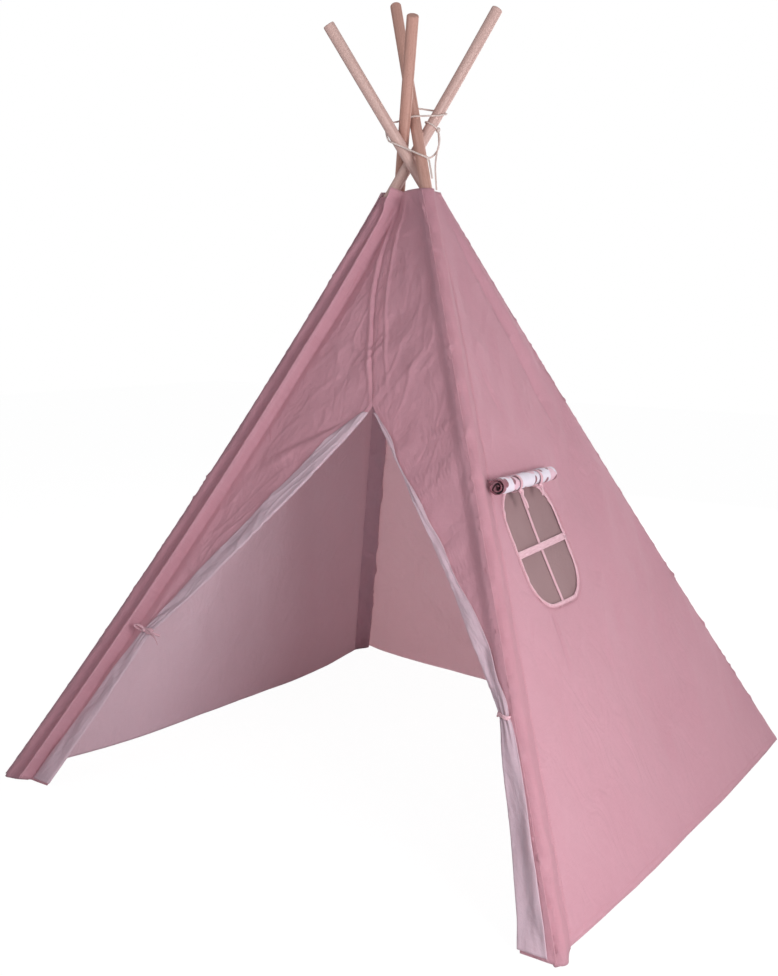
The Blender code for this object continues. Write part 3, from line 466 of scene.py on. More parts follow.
def noise(tree, place, scales, detail=2.0, roughness=0.5, distortion=0.0):
    """Flat noise on coordinates stretched by these scales, in features a metre."""
    laid = add_node(tree, "ShaderNodeMapping", {"Vector": place, "Scale": (*scales, 1)})
    values = {"Vector": laid.outputs[0], "Scale": 1, "Detail": detail, "Roughness": roughness}
    values["Distortion"] = distortion
    return add_node(tree, "ShaderNodeTexNoise", values, noise_dimensions="2D").outputs["Fac"]


def spread(tree, value, low, high):
    """Low to high becomes 0 to 1."""
    made = add_node(tree, "ShaderNodeMapRange", {"Value": value, "From Min": low, "From Max": high})
    return made.outputs[0]


def bump(tree, height, distance, strength, below=None):
    """A relief of this depth, on top of another one if there is one below."""
    values = {"Height": height, "Distance": distance, "Strength": strength}
    if below is not None:
        values["Normal"] = below
    return add_node(tree, "ShaderNodeBump", values).outputs[0]


def plain_finish(name, roughness, metallic=0.0):
    """A new material, its tree and shader, and the output that gives the place on the piece's UV map."""
    made = bpy.data.materials.new(name)
    made.use_nodes = True
    shader = made.node_tree.nodes["Principled BSDF"]
    shader.inputs["Roughness"].default_value = roughness
    shader.inputs["Metallic"].default_value = metallic
    place = add_node(made.node_tree, "ShaderNodeTexCoord").outputs["UV"]
    return made, made.node_tree, shader, place


# %% Cotton
WARP = (1250, 55)
WEFT = (55, 1250)


def cotton(name, colour, pale, deep, through, pitch=0.0008):
    """Plain weave: faint streaks over a blotched dye, crumples in relief, and light that comes through."""
    made, tree, shader, place = plain_finish(name, 0.88)
    shader.inputs["Sheen Weight"].default_value = 0.12
    shader.inputs["Sheen Roughness"].default_value = 0.6
    shader.inputs["Specular IOR Level"].default_value = 0.2
    warp = noise(tree, place, WARP, 1.5)
    weft = noise(tree, place, WEFT, 1.5)
    yarns = maths(tree, "ADD", maths(tree, "MULTIPLY", warp, 0.5), maths(tree, "MULTIPLY", weft, 0.5))
    blotch = noise(tree, place, (9, 6), 3.0)
    thick = maths(tree, "MULTIPLY", spread(tree, yarns, 0.47, 0.66), 0.4)
    thin = maths(tree, "MULTIPLY", spread(tree, yarns, 0.47, 0.30), 0.4)
    cloth_colour = mixed(tree, thick, (*colour, 1), (*pale, 1))
    cloth_colour = mixed(tree, thin, cloth_colour, (*deep, 1))
    faded = maths(tree, "MULTIPLY", spread(tree, blotch, 0.35, 0.75), 0.22)
    cloth_colour = mixed(tree, faded, cloth_colour, (*pale, 1))
    tree.links.new(cloth_colour, shader.inputs["Base Color"])
    apart = add_node(tree, "ShaderNodeSeparateXYZ", {0: place})
    over = maths(tree, "SINE", maths(tree, "MULTIPLY", apart.outputs[0], TAU / pitch))
    under = maths(tree, "SINE", maths(tree, "MULTIPLY", apart.outputs[1], TAU / pitch))
    weave = maths(tree, "MULTIPLY_ADD", maths(tree, "MULTIPLY", over, under), 0.5, yarns)
    small = noise(tree, place, (42, 30), 4.0, 0.6, 0.4)
    broad = noise(tree, place, (17, 10), 2.5, 0.6, 1.2)
    relief = bump(tree, broad, 0.0065, 0.5)
    relief = bump(tree, small, 0.0026, 0.5, relief)
    relief = bump(tree, weave, 0.00015, 0.5, relief)
    tree.links.new(relief, shader.inputs["Normal"])
    glow = add_node(tree, "ShaderNodeBsdfTranslucent", {"Color": (*through, 1), "Normal": relief})
    both = add_node(tree, "ShaderNodeMixShader", {0: 0.45, 1: shader.outputs[0], 2: glow.outputs[0]})
    tree.links.new(both.outputs[0], tree.nodes["Material Output"].inputs["Surface"])
    return made


SHEER = (0.90, 0.71, 0.72)
ROSE = cotton("rose_cotton", (0.660, 0.345, 0.420), (0.735, 0.435, 0.515), (0.540, 0.245, 0.320), SHEER)
LINING = cotton(
    "rose_cotton_wrong_side", (0.765, 0.630, 0.725), (0.845, 0.730, 0.825), (0.665, 0.515, 0.610), SHEER
)
THREAD = cotton(
    "rose_thread", (0.780, 0.420, 0.500), (0.860, 0.520, 0.600), (0.660, 0.320, 0.400), SHEER, pitch=0.0004
)
print("cottons:", [finish.name for finish in (ROSE, LINING, THREAD)])

# %% [markdown]
# The trims are three more cloths. Ribbon is a narrow tape with fine ribs. The window's net is nearly closed
# as seen from outside, and the dark inside of the tent shows through it. So its brown is partly its own
# colour and partly painted shade of the inside, and the gaps between its threads are painted darker still as
# that shade.
# Crossing threads in relief over a dull ground do for it, and real holes, many thousands of them, aren't
# needed. The blind is printed with petals and leaves, which come from cells of two sizes that noise bends out
# of their round shape.

# %% Ribbon, net and printed cotton
RIB_PITCH = 0.0009
NET_PITCH = 0.0016


def ribbed(name, colour, pale):
    """Cotton tape: fine ribs across it, and paler, slightly raised streaks along it."""
    made, tree, shader, place = plain_finish(name, 0.75)
    shader.inputs["Sheen Weight"].default_value = 0.15
    apart = add_node(tree, "ShaderNodeSeparateXYZ", {0: place})
    ribs = maths(tree, "SINE", maths(tree, "MULTIPLY", apart.outputs[1], TAU / RIB_PITCH))
    streaks = noise(tree, place, (900, 60), 1.5)
    shade = mixed(tree, spread(tree, streaks, 0.35, 0.7), (*colour, 1), (*pale, 1))
    tree.links.new(shade, shader.inputs["Base Color"])
    tree.links.new(bump(tree, maths(tree, "ADD", ribs, streaks), 0.00015, 0.8), shader.inputs["Normal"])
    return made


RIBBON = ribbed("rose_ribbon", (0.620, 0.330, 0.390), (0.740, 0.470, 0.530))


def netting(name, colour, pale):
    """Fine net: threads in relief over a dull ground with painted inside shade, darker in gaps; lets a little
    of the inside through.
    """
    made, tree, shader, place = plain_finish(name, 0.9)
    shader.inputs["Alpha"].default_value = 0.88
    apart = add_node(tree, "ShaderNodeSeparateXYZ", {0: place})
    one = maths(tree, "SINE", maths(tree, "MULTIPLY", apart.outputs[0], TAU / NET_PITCH))
    two = maths(tree, "SINE", maths(tree, "MULTIPLY", apart.outputs[1], TAU / NET_PITCH))
    threads = spread(tree, maths(tree, "MAXIMUM", one, two), 0.3, 0.9)
    cloudy = noise(tree, place, (14, 9), 2.0)
    ground = mixed(tree, spread(tree, cloudy, 0.3, 0.7), (*colour, 1), (*pale, 1))
    # painted shade: the gaps between the threads are darker, as the shaded inside of the tent seen through
    # them
    dark = tuple(0.62 * x for x in colour)
    tree.links.new(mixed(tree, threads, (*dark, 1), ground), shader.inputs["Base Color"])
    tree.links.new(bump(tree, threads, 0.0003, 0.8), shader.inputs["Normal"])
    return made


# The net's brown is partly its own colour and partly painted shade of the dark inside behind it.
NET_AND_INSIDE_SHADE = netting("brown_net", (0.380, 0.230, 0.240), (0.430, 0.270, 0.280))


def printed(name, ground, pink, maroon):
    """Pale cotton with a loose all-over print: pink petals and smaller dark red leaves, both from cells."""
    made, tree, shader, place = plain_finish(name, 0.85)
    shader.inputs["Sheen Weight"].default_value = 0.1
    bent = noise(tree, place, (60, 60), 2.0)
    shifted = add_node(tree, "ShaderNodeVectorMath", {0: place}, operation="ADD")
    offset = add_node(tree, "ShaderNodeCombineXYZ", {0: maths(tree, "MULTIPLY", bent, 0.010), 1: 0.0})
    tree.links.new(offset.outputs[0], shifted.inputs[1])

    def petals(scale, wide, seed):
        """Spots round the centres of cells, on coordinates that are stretched, shifted and turned."""
        turned = {"Vector": shifted.outputs[0], "Location": (seed, seed, 0), "Rotation": (0, 0, 0.7)}
        turned["Scale"] = (scale, scale * 0.6, 1)
        laid = add_node(tree, "ShaderNodeMapping", turned)
        values = {"Vector": laid.outputs[0], "Scale": 1}
        cell = add_node(tree, "ShaderNodeTexVoronoi", values, voronoi_dimensions="2D")
        return spread(tree, cell.outputs["Distance"], wide + 0.05, wide)

    print_colour = mixed(tree, petals(26, 0.30, 3.1), (*ground, 1), (*pink, 1))
    print_colour = mixed(tree, petals(44, 0.20, 7.7), print_colour, (*maroon, 1))
    apart = add_node(tree, "ShaderNodeSeparateXYZ", {0: place})
    corner_leaf = maths(tree, "MULTIPLY_ADD", bent, 0.008, apart.outputs[0])
    print_colour = mixed(tree, spread(tree, corner_leaf, 0.016, 0.013), print_colour, (*maroon, 1))
    yarns = noise(tree, place, WARP, 1.5)
    faded = maths(tree, "MULTIPLY", spread(tree, yarns, 0.4, 0.6), 0.12)
    print_colour = mixed(tree, faded, print_colour, (0.9, 0.8, 0.85, 1))
    tree.links.new(print_colour, shader.inputs["Base Color"])
    relief = bump(tree, noise(tree, place, (60, 40), 3.0), 0.0015, 0.5)
    tree.links.new(bump(tree, yarns, 0.0002, 0.5, relief), shader.inputs["Normal"])
    return made


PRINT = printed("printed_cotton", (0.64, 0.58, 0.66), (0.62, 0.38, 0.46), (0.19, 0.040, 0.065))
print("trims:", [finish.name for finish in (RIBBON, NET_AND_INSIDE_SHADE, PRINT)])

# %% [markdown]
# The poles are turned beech. Its mark is the short dark rays, so a second, much finer noise adds them to the
# long grain. Two poles are cut from darker boards. The cord is spun cotton, and the hidden ferrules, which
# stay as the plain model has them, are plated steel.

# %% Beech, cord and steel


def beech(name, colour, deep, fleck):
    """Turned beech: long soft grain streaks, and the short dark rays that only beech shows."""
    made, tree, shader, place = plain_finish(name, 0.55)
    shader.inputs["Specular IOR Level"].default_value = 0.35
    grain = noise(tree, place, (230, 5), 4.0, 0.6, 0.6)
    tone = noise(tree, place, (30, 1.6), 2.0)
    wood = mixed(tree, spread(tree, grain, 0.35, 0.75), (*colour, 1), (*deep, 1))
    wood = mixed(tree, maths(tree, "MULTIPLY", spread(tree, tone, 0.3, 0.8), 0.35), wood, (*deep, 1))
    rays = noise(tree, place, (1500, 260), 1.0)
    wood = mixed(tree, maths(tree, "MULTIPLY", spread(tree, rays, 0.64, 0.74), 0.55), wood, (*fleck, 1))
    tree.links.new(wood, shader.inputs["Base Color"])
    tree.links.new(spread(tree, grain, -2.6, 1.6), shader.inputs["Roughness"])
    tree.links.new(bump(tree, maths(tree, "ADD", grain, rays), 0.00025, 0.5), shader.inputs["Normal"])
    return made


BEECH = beech("beech", (0.640, 0.450, 0.415), (0.500, 0.320, 0.285), (0.300, 0.160, 0.125))
BEECH_DARK = beech("beech_darker", (0.560, 0.325, 0.275), (0.430, 0.225, 0.180), (0.220, 0.095, 0.070))


def spun(name, colour, pale):
    """Twisted cotton cord: pale fibres over a darker ground."""
    made, tree, shader, place = plain_finish(name, 0.9)
    shader.inputs["Sheen Weight"].default_value = 0.2
    fibres = noise(tree, place, (2200, 500), 3.0, 0.6, 1.0)
    shade = mixed(tree, spread(tree, fibres, 0.35, 0.7), (*colour, 1), (*pale, 1))
    tree.links.new(shade, shader.inputs["Base Color"])
    tree.links.new(bump(tree, fibres, 0.0004, 0.8), shader.inputs["Normal"])
    return made


CORD = spun("lashing_cotton", (0.560, 0.430, 0.400), (0.740, 0.640, 0.600))


def brushed(name, colour):
    """Plated steel tube. Its streaks read Object coordinates, as a ferrule has no UV map."""
    made, tree, shader, _ = plain_finish(name, 0.35, 1.0)
    place = add_node(tree, "ShaderNodeTexCoord").outputs["Object"]
    lines = add_node(tree, "ShaderNodeTexNoise", {"Vector": place, "Scale": 900, "Detail": 2})
    shade = tuple(0.8 * x for x in colour)
    tree.links.new(mixed(tree, lines.outputs["Fac"], (*colour, 1), (*shade, 1)), shader.inputs["Base Color"])
    tree.links.new(spread(tree, lines.outputs["Fac"], -1.0, 2.2), shader.inputs["Roughness"])
    return made


STEEL = brushed("ferrule_steel", (0.62, 0.62, 0.64))
for corner in CORNERS:
    ferrule = frame["nodes"][f"pole_{corner}_ferrule"]
    ferrule.data.materials.clear()
    ferrule.data.materials.append(STEEL)
print("wood, cord and steel:", [finish.name for finish in (BEECH, BEECH_DARK, CORD, STEEL)])

# %% [markdown]
# ## Ripples and creases
#
# Cloth is never flat. Broad, soft ripples are a sum of plane waves in random directions. A crease is a narrow
# dent or ridge along a line, and where threads pull on one point, folds fan out from it. A cloth simulation
# could give all of this, but it can't be told where the photographed folds lie, and these functions can.

# %% Ripples


def ripples(u, v, wavelength, seed, stretch=1.0, waves=14):
    """The sum of plane waves of about one wavelength, in random directions and phases, scaled to about 1."""
    random = np.random.default_rng(seed)
    turn, phase = random.uniform(0, TAU, (2, waves))
    pitch = TAU / wavelength * random.uniform(0.6, 1.5, waves)
    place = u[..., None] * np.cos(turn) + v[..., None] / stretch * np.sin(turn)
    return np.sin(place * pitch + phase).sum(-1) / math.sqrt(waves / 2)


def creased(u, v, wavelength, seed, stretch=1.0, sharp=4):
    """Thin ridges where the ripples pass zero, on coordinates that wander."""
    wander = ripples(u, v, wavelength * 2.6, seed + 1) * wavelength * 0.4
    level = ripples(u + wander, v - wander, wavelength, seed, stretch)
    return np.clip(1 - np.abs(level), 0, 1) ** sharp


def crease(u, z, start, end, width, depth):
    """A bell across the line from start to end, fading towards both."""
    along = np.subtract(end, start)
    long = math.hypot(*along)
    du, dz = u - start[0], z - start[1]
    t = (du * along[0] + dz * along[1]) / long**2
    off = (du * along[1] - dz * along[0]) / long / width
    fade = smooth(t / 0.25) * smooth((1 - t) / 0.25)
    return depth * fade * np.exp(-(off**2))


def fan(u, z, centre, count, reach, depth, aim, open_angle):
    """Folds that leave one point towards aim, as a wave of the angle round it, fading with distance."""
    du, dz = u - centre[0], z - centre[1]
    r = np.hypot(du, dz)
    angle = (np.arctan2(dz, du) - aim + np.pi) % TAU - np.pi
    wave = np.cos(count * angle + 1.3 * np.sin(3 * angle))
    bell = np.exp(-((angle / open_angle) ** 2))
    return depth * wave * bell * np.exp(-r / reach) * (1 - np.exp(-r / 0.012))


# %% [markdown]
# ## Poles
#
# Each pole is two turned lengths that meet in a hidden steel ferrule. Only the upper ends show. A cylinder
# would do for a straight pole, but these are bowed a little, so each half is a tube along the pole's axis.
# Its last rings close in a quarter round, which is the sanded rim.

# %% Pole halves
POLE_RINGS = 60
POLE_RIM = 0.0025
POLE_LOWEST = 0.008
HALF_GAP = 0.0003


def pole_half(corner, low, high, name, finish, rounded):
    """Rings along the axis from low to high. A rounded end closes with a quarter circle."""
    z = np.linspace(low, high, POLE_RINGS)
    radius = np.full(POLE_RINGS, POLE_RADIUS)
    if rounded:
        turn = np.linspace(0, np.pi / 2, 8)
        z = np.concatenate([z[:-1], high - POLE_RIM + POLE_RIM * np.sin(turn)])
        z[POLE_RINGS - 2] = high - 0.004
        radius = np.concatenate([radius[:-1], POLE_RADIUS - POLE_RIM * (1 - np.cos(turn))])
    made = tube(name, pole_point(corner, z), radius, (1, 0, 0), finish, sides=40)
    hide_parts(name.replace("wood_", "pole_"))
    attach(made, "left_frame" if "left" in corner else "right_frame")


for corner in CORNERS:
    wood = BEECH_DARK if corner in ("front_right", "back_left") else BEECH
    top = float(pole_top(corner)[2])
    pole_half(corner, POLE_LOWEST, top / 2 - HALF_GAP, f"wood_{corner}_lower", wood, False)
    pole_half(corner, top / 2 + HALF_GAP, top, f"wood_{corner}_upper", wood, True)
print("poles reach", round(max(float(pole_top(c)[2]) for c in CORNERS), 3))

# %% [markdown]
# ## Sleeves
#
# A sleeve is a flat tube of the cover's own cloth, 54 mm across, with the pole in it. Round the pole it is
# tight, towards its inner seam it lies flat, and along both seams the stitching gathers it into small
# puckers. A round tube would look like a pipe, so the section is worked out anew at every height. The skin
# goes up the outside, over the rim at the top and down the inside, so it is one closed surface. On the two
# back sleeves, the faces that look into the tent show the cloth's wrong side.

# %% Sleeve section
SLEEVE_CUT = 0.112
SLEEVE_SKIN = 0.0012
SEAM_ARC = 0.45
SLEEVE_LOWER = {"front_left": 0.010, "front_right": 0.0, "back_right": 0.014, "back_left": 0.0}
FLAT_DIP = {"front_left": -0.0030, "front_right": 0.0006, "back_right": 0.0006, "back_left": 0.0006}


def puckers(z, seed, wavelength=0.021):
    """A sharp, uneven wave along a seam, between 0 and 1."""
    random = np.random.default_rng(seed)
    drift = np.interp(z, np.linspace(0, COVER_TOP, 60), np.cumsum(random.uniform(0.55, 1.45, 60)))
    heights = np.interp(z, np.linspace(0, COVER_TOP, 90), random.uniform(0.15, 1.0, 90) ** 1.5)
    return (1 - np.abs(np.sin(drift * 0.0195 / wavelength * np.pi))) ** 1.4 * heights


def sleeve_section(corner, z, shrink, frill):
    """Round the pole in (across, out): an arc from the outer seam, a flat run to the inner seam, and back."""
    arc, flat = 11, 12
    seam = outer_seam_angle(corner, z)[:, None] % TAU
    inner = sleeve_inner(z)[:, None] - shrink
    radius = SLEEVE_RADIUS - shrink
    tip = SLEEVE_OUTER - shrink + frill[:, None] * 0.0045
    leave = np.arccos(radius / inner) * 0.96
    t = np.linspace(0, 1, arc)
    under = seam + SEAM_ARC + (TAU - leave - seam - SEAM_ARC) * t
    over = leave + (seam - SEAM_ARC - leave) * t
    f = np.linspace(0, 1, flat + 2)[1:-1]
    dip = FLAT_DIP[corner] * np.sin(np.pi * f) ** 1.2
    edge = 0.0010 if shrink == 0 else 0.0003
    flat_p = radius * np.cos(leave) + (inner - radius * np.cos(leave)) * f
    flat_q = radius * np.sin(leave) * (1 - f) ** 1.15 + edge * f - dip * (1 if shrink == 0 else 0.3)
    flat_q = np.maximum(flat_q, edge)
    aside = edge / SLEEVE_OUTER
    p = [tip * np.cos(seam + aside), radius * np.cos(under), flat_p, inner, inner]
    q = [tip * np.sin(seam + aside), radius * np.sin(under), -flat_q, -edge + 0 * inner, edge + 0 * inner]
    p += [flat_p[:, ::-1], radius * np.cos(over), tip * np.cos(seam - aside)]
    q += [flat_q[:, ::-1], radius * np.sin(over), tip * np.sin(seam - aside)]
    return np.concatenate(p, 1), np.concatenate(q, 1)


def sleeve_relief(z, top, columns, seed, frill, ripple):
    """How far the skin stands out, and how far it waves at its outer seam. Both fade at the ends."""
    way_round = np.linspace(0, 1, columns)
    near_outer = np.exp(-np.minimum(way_round, 1 - way_round) * columns / 3.2)
    near_inner = np.exp(-np.abs(way_round - 0.5) * columns / 5.0)
    high = z[:, None] + 0 * way_round
    around = way_round[None] * 0.115 + 0 * z[:, None]
    lift = ripple * 0.0009 * ripples(around, high, 0.05, seed, 1.6)
    lift += ripple * 0.0016 * near_inner * (puckers(z, seed + 1, 0.034)[:, None] - 0.35)
    slanted = z[:, None] + 0.35 * (0.5 - np.abs(way_round - 0.5))[None] * 0.06
    lift += ripple * 0.0020 * near_outer * (puckers(slanted, seed + 2, 0.020) - 0.3)
    lift += ripple * 0.0012 * creased(around, high, 0.055, seed + 5, 0.8, 5)
    lift *= smooth((top - high) / 0.03) * smooth(high / 0.03)
    frilled = 0.0022 * frill * near_outer * ripples(around * 0, high, 0.045, seed + 9)
    return lift, frilled * smooth(high / 0.02) * smooth((top - high) / 0.02)


def facing_middle(points, own, rows):
    """Which columns of the outer skin look towards the tent's middle, from the mean of their normals."""
    cell = points.reshape(-1, 3)[own]
    normal = np.cross(cell[:, 2] - cell[:, 0], cell[:, 3] - cell[:, 1])
    spot = cell.mean(1)
    outwards = np.sign(np.sum(normal * (spot - spot.mean(0))))
    facing = outwards * dot(unit(normal), unit(-spot * (1, 1, 0)))
    return facing.reshape(-1, points.shape[1])[: rows - 1].mean(0) > 0.05


# %% Sleeves


def sleeve(corner, seed, frill, ripple):
    """The outer skin from the floor to the top, its rim, and the inner skin down to the pocket's floor."""
    rows = 300
    cover_top = COVER_TOP - SLEEVE_LOWER[corner]
    z = np.linspace(0, cover_top, rows)
    inner_z = np.concatenate([[cover_top - 0.0003], np.linspace(cover_top - 0.004, 0.003, 26)])
    out_p, out_q = sleeve_section(corner, z, 0.0, puckers(z, seed, 0.024) * frill)
    in_p, in_q = sleeve_section(corner, inner_z, SLEEVE_SKIN, 0 * inner_z)
    columns = out_p.shape[1]
    lift, frilled = sleeve_relief(z, cover_top, columns, seed, frill, ripple)
    size = np.hypot(out_p, out_q)
    thin = np.minimum(1.0, np.abs(out_q) / 0.004 + 0.25)
    out_p = out_p * (1 + lift * thin / size)
    out_q = out_q + np.sign(out_q) * np.maximum(lift, -0.4 * np.abs(out_q)) * thin
    out_q = out_q + frilled
    outer = beside_pole(corner, z[:, None] + 0 * out_p, out_p, out_q)
    inner = beside_pole(corner, inner_z[:, None] + 0 * in_p, in_p, in_q)
    points = np.concatenate([outer, inner])
    own, laid = grid_cells(len(points), columns, wrap=True)
    across = np.linspace(0, SLEEVE_CUT, columns + 1)
    heights = np.concatenate([z, inner_z])
    uv = np.stack(np.broadcast_arrays(across[None], heights[:, None]), -1).reshape(-1, 2)
    caps = [np.arange(columns)[None, ::-1], (len(points) - 1) * columns + np.arange(columns)[None]]
    cap_uv = [points.reshape(-1, 3)[cap][..., :2] for cap in caps]
    lined = facing_middle(points, own, rows) & ("back" in corner)
    kinds = [np.tile(lined, len(points) - 1).astype(int), np.ones(1, int), np.ones(1, int)]
    print(corner, "sleeve: columns that show the wrong side", np.flatnonzero(lined))
    flat_points = points.reshape(-1, 3)
    finishes = (ROSE, LINING)
    made = add_mesh(f"pole_sleeve_{corner}", flat_points, [own, *caps], [uv[laid], *cap_uv], finishes, kinds)
    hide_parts(f"sleeve_{corner}")
    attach(made, "left_frame" if "left" in corner else "right_frame")


sleeve("front_left", 11, 0.35, 1.0)
sleeve("front_right", 23, 1.0, 0.9)
sleeve("back_right", 37, 0.7, 1.1)
sleeve("back_left", 41, 0.5, 1.0)

# %% [markdown]
# ## Walls
#
# A wall is one curved sheet. Its rows are heights and its columns are shares of the way across, and a
# function of both says how far the cloth stands out there: a belly, broad ripples, creases where it is
# pulled, and a hem of double cloth. At both seams all of that fades out, and only the puckers of the
# stitching stay. The sheet reaches a few millimetres into the sleeves there, so no light comes between.

# %% How a wall hangs
CLOTH = 0.0013
HEM_BAND = 0.016
TUCK = 0.0035
SLANT = 1.09
END_DIP = 0.0015
END_DIP_REACH = 0.007


def shares_across(columns):
    """Even steps from 0 to 1, less a sine, so that columns are closer together at both seams."""
    s = np.linspace(0, 1, columns)
    return s - 0.055 * np.sin(TAU * s)


def wall_grid(corner, rows, columns):
    """Heights, shares and metres from the first seam. At both seams the grid reaches into the sleeve."""
    s = shares_across(columns)
    z = np.linspace(HEM, COVER_TOP, rows)[:, None] + 0 * s
    tuck = TUCK / wall_width(corner, z)
    share = -tuck + (1 + 2 * tuck) * s
    return z, share, share * wall_width(corner, z)


def settle(corner, z, share, lift, seed, pucker=0.0011):
    """Ripples fade out at both seams, where the puckers are, and the end dips towards the next sleeve."""
    width = wall_width(corner, z)
    from_start, from_end = share * width, (1 - share) * width
    held = smooth(from_start / 0.045) * smooth(from_end / 0.045) * smooth((COVER_TOP + 0.01 - z) / 0.05)
    lift = lift * held * (0.2 + 0.8 * smooth(z / 0.22))
    lift += pucker * np.exp(-from_start / 0.011) * (puckers(z + 0.3 * from_start, seed) - 0.3)
    lift += pucker * np.exp(-from_end / 0.011) * (puckers(z - 0.3 * from_end, seed + 1) - 0.3)
    return lift - END_DIP * np.exp(-((from_end / END_DIP_REACH) ** 2))


def thickness(z):
    """Cloth, and double cloth in the hems at the bottom and at the top."""
    return CLOTH * (1 + 0.7 * smooth((HEM_BAND - z) / 0.002) + 0.7 * smooth((z - COVER_TOP + 0.012) / 0.002))


def wall_cloth(name, corner, z, share, lift, keep=None):
    """A sheet on the wall's own grid, with a UV map in metres from the middle of the wall."""
    middle = wall_point(corner, z, share, lift)
    uv = np.stack([(share - 0.5) * wall_width(corner, z), z * SLANT], -1)
    return cloth(name, middle, uv, thickness(z), ROSE, LINING, keep)


# %% Left wall


def slack(u, z, wavelength, seed):
    """Cloth that nothing pulls on: broad ripples, small ones and thin creases, added up."""
    lift = 0.0045 * ripples(u, z, wavelength, seed, 1.5) + 0.0012 * ripples(u, z, 0.10, seed + 1, 1.8)
    return lift + 0.0016 * creased(u, z, 0.20, seed + 2, 1.8)


def left_lift(u, z, share):
    """How far the left wall stands out: slack cloth, settled at its seams."""
    return settle("back_left", z, share, slack(u, z, 0.42, 101), 104)


z, share, u = wall_grid("back_left", 200, 130)
left_wall = wall_cloth("left_wall", "back_left", z, share, left_lift(u, z, share))
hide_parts("left_panel")
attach(left_wall, "left_frame")

# %% [markdown]
# The back wall is one sheet too. When the poles are closed it folds along its middle. Here it is one piece,
# not carried by the bodies of its halves, and the line along its middle is worked out but nothing bends the
# sheet there. Its ripples fade out towards that line, so that the halves would lie clear of each other when
# folded.

# %% Back wall
MIDDLE_FADE = 0.10

z, share, u = wall_grid("back_right", 200, 141)
lift = slack(u, z, 0.40, 201)
lift *= smooth(np.abs(share - 0.5) * wall_width("back_right", z) / MIDDLE_FADE)
back_wall = wall_cloth("back_wall", "back_right", z, share, settle("back_right", z, share, lift, 204))
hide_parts("back_right_panel", "back_left_panel")
middle_low, middle_high = (wall_point("back_right", height, 0.5) for height in (0.0, COVER_TOP))
middle_way = unit(middle_high - middle_low)
fold_side = unit(wall_point("back_right", 0.3, 0.52) - wall_point("back_right", 0.3, 0.48))
fold_side = fold_side - middle_way * dot(fold_side, middle_way)
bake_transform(back_wall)

# %% [markdown]
# ## Right wall and its window
#
# The window is a rounded opening that leans forwards. A Boolean would cut it raggedly, and its edge would
# have no rim. Here the cells of the grid inside the outline are cut out, and the points next to it are moved
# onto it, so the edge is clean before the binding covers it.

# %% Window outline
WINDOW_LOW, WINDOW_HIGH = 0.437, 0.638
WINDOW_MIDDLE = (WINDOW_LOW + WINDOW_HIGH) / 2
WINDOW_WIDTH = 0.184
WINDOW_CENTRE = 0.094 - INNER_SEAM + WINDOW_WIDTH / 2
WINDOW_CORNER = 0.062
WINDOW_LEAN = -0.40


def window_edge(offset, count=160):
    """The outline, grown by offset: four quarter circles joined by straight runs, sheared by the lean."""
    half = np.array([WINDOW_WIDTH / 2 - WINDOW_CORNER, (WINDOW_HIGH - WINDOW_LOW) / 2 - WINDOW_CORNER])
    turn = np.linspace(0, TAU, count, endpoint=False)
    cos, sin = np.cos(turn), np.sin(turn)
    ring = np.stack([cos, sin], -1) * (WINDOW_CORNER + offset)
    ring += np.stack([np.clip(cos * 6, -1, 1) * half[0], np.clip(sin * 6, -1, 1) * half[1]], -1)
    return np.stack([WINDOW_CENTRE + ring[:, 0] + WINDOW_LEAN * ring[:, 1], WINDOW_MIDDLE + ring[:, 1]], -1)


def window_distance(u, z):
    """How far a point lies outside the outline: the distance to a rectangle, less the corners' radius."""
    dz = z - WINDOW_MIDDLE
    du = u - WINDOW_CENTRE - WINDOW_LEAN * dz
    qu = np.abs(du) - (WINDOW_WIDTH / 2 - WINDOW_CORNER)
    qz = np.abs(dz) - ((WINDOW_HIGH - WINDOW_LOW) / 2 - WINDOW_CORNER)
    outside = np.hypot(np.maximum(qu, 0), np.maximum(qz, 0))
    return outside + np.minimum(np.maximum(qu, qz), 0) - WINDOW_CORNER


# %% Right wall
RIGHT_FOLDS = (
    ((0.030, 1.160), (0.330, 0.700), 0.010, -0.0080),
    ((0.045, 1.170), (0.360, 0.720), 0.016, 0.0060),
    ((0.040, 0.870), (0.100, 0.750), 0.006, -0.0020),
    ((0.340, 0.690), (0.520, 0.610), 0.010, 0.0022),
)
UNDER_WINDOW = (
    ((0.131, 0.440), (0.151, 0.325), 0.0024, -0.0042),
    ((0.138, 0.440), (0.168, 0.300), 0.009, 0.0020),
)
MOVED_WITHIN = 0.0045


def right_lift(u, z, share):
    """Smooth cloth with long soft folds down from the top, flat round the window, and creases under it."""
    lift = 0.0038 * ripples(u, z, 0.42, 301, 1.6) + 0.0013 * ripples(u, z, 0.09, 302, 2.2)
    lift += 0.0016 * creased(u, z, 0.16, 303, 2.4) + 0.0008 * creased(u, z, 0.05, 305, 2.6)
    for fold in RIGHT_FOLDS:
        lift += crease(u, z, *fold)
    from_blind = np.hypot(u - 0.1, (z - 0.65) * 2) - 0.13
    lift = lift * (smooth(window_distance(u, z) / 0.09) * smooth(from_blind / 0.06))
    for fold in UNDER_WINDOW:
        lift += crease(u, z, *fold)
    return settle("front_right", z, share, lift, 304)


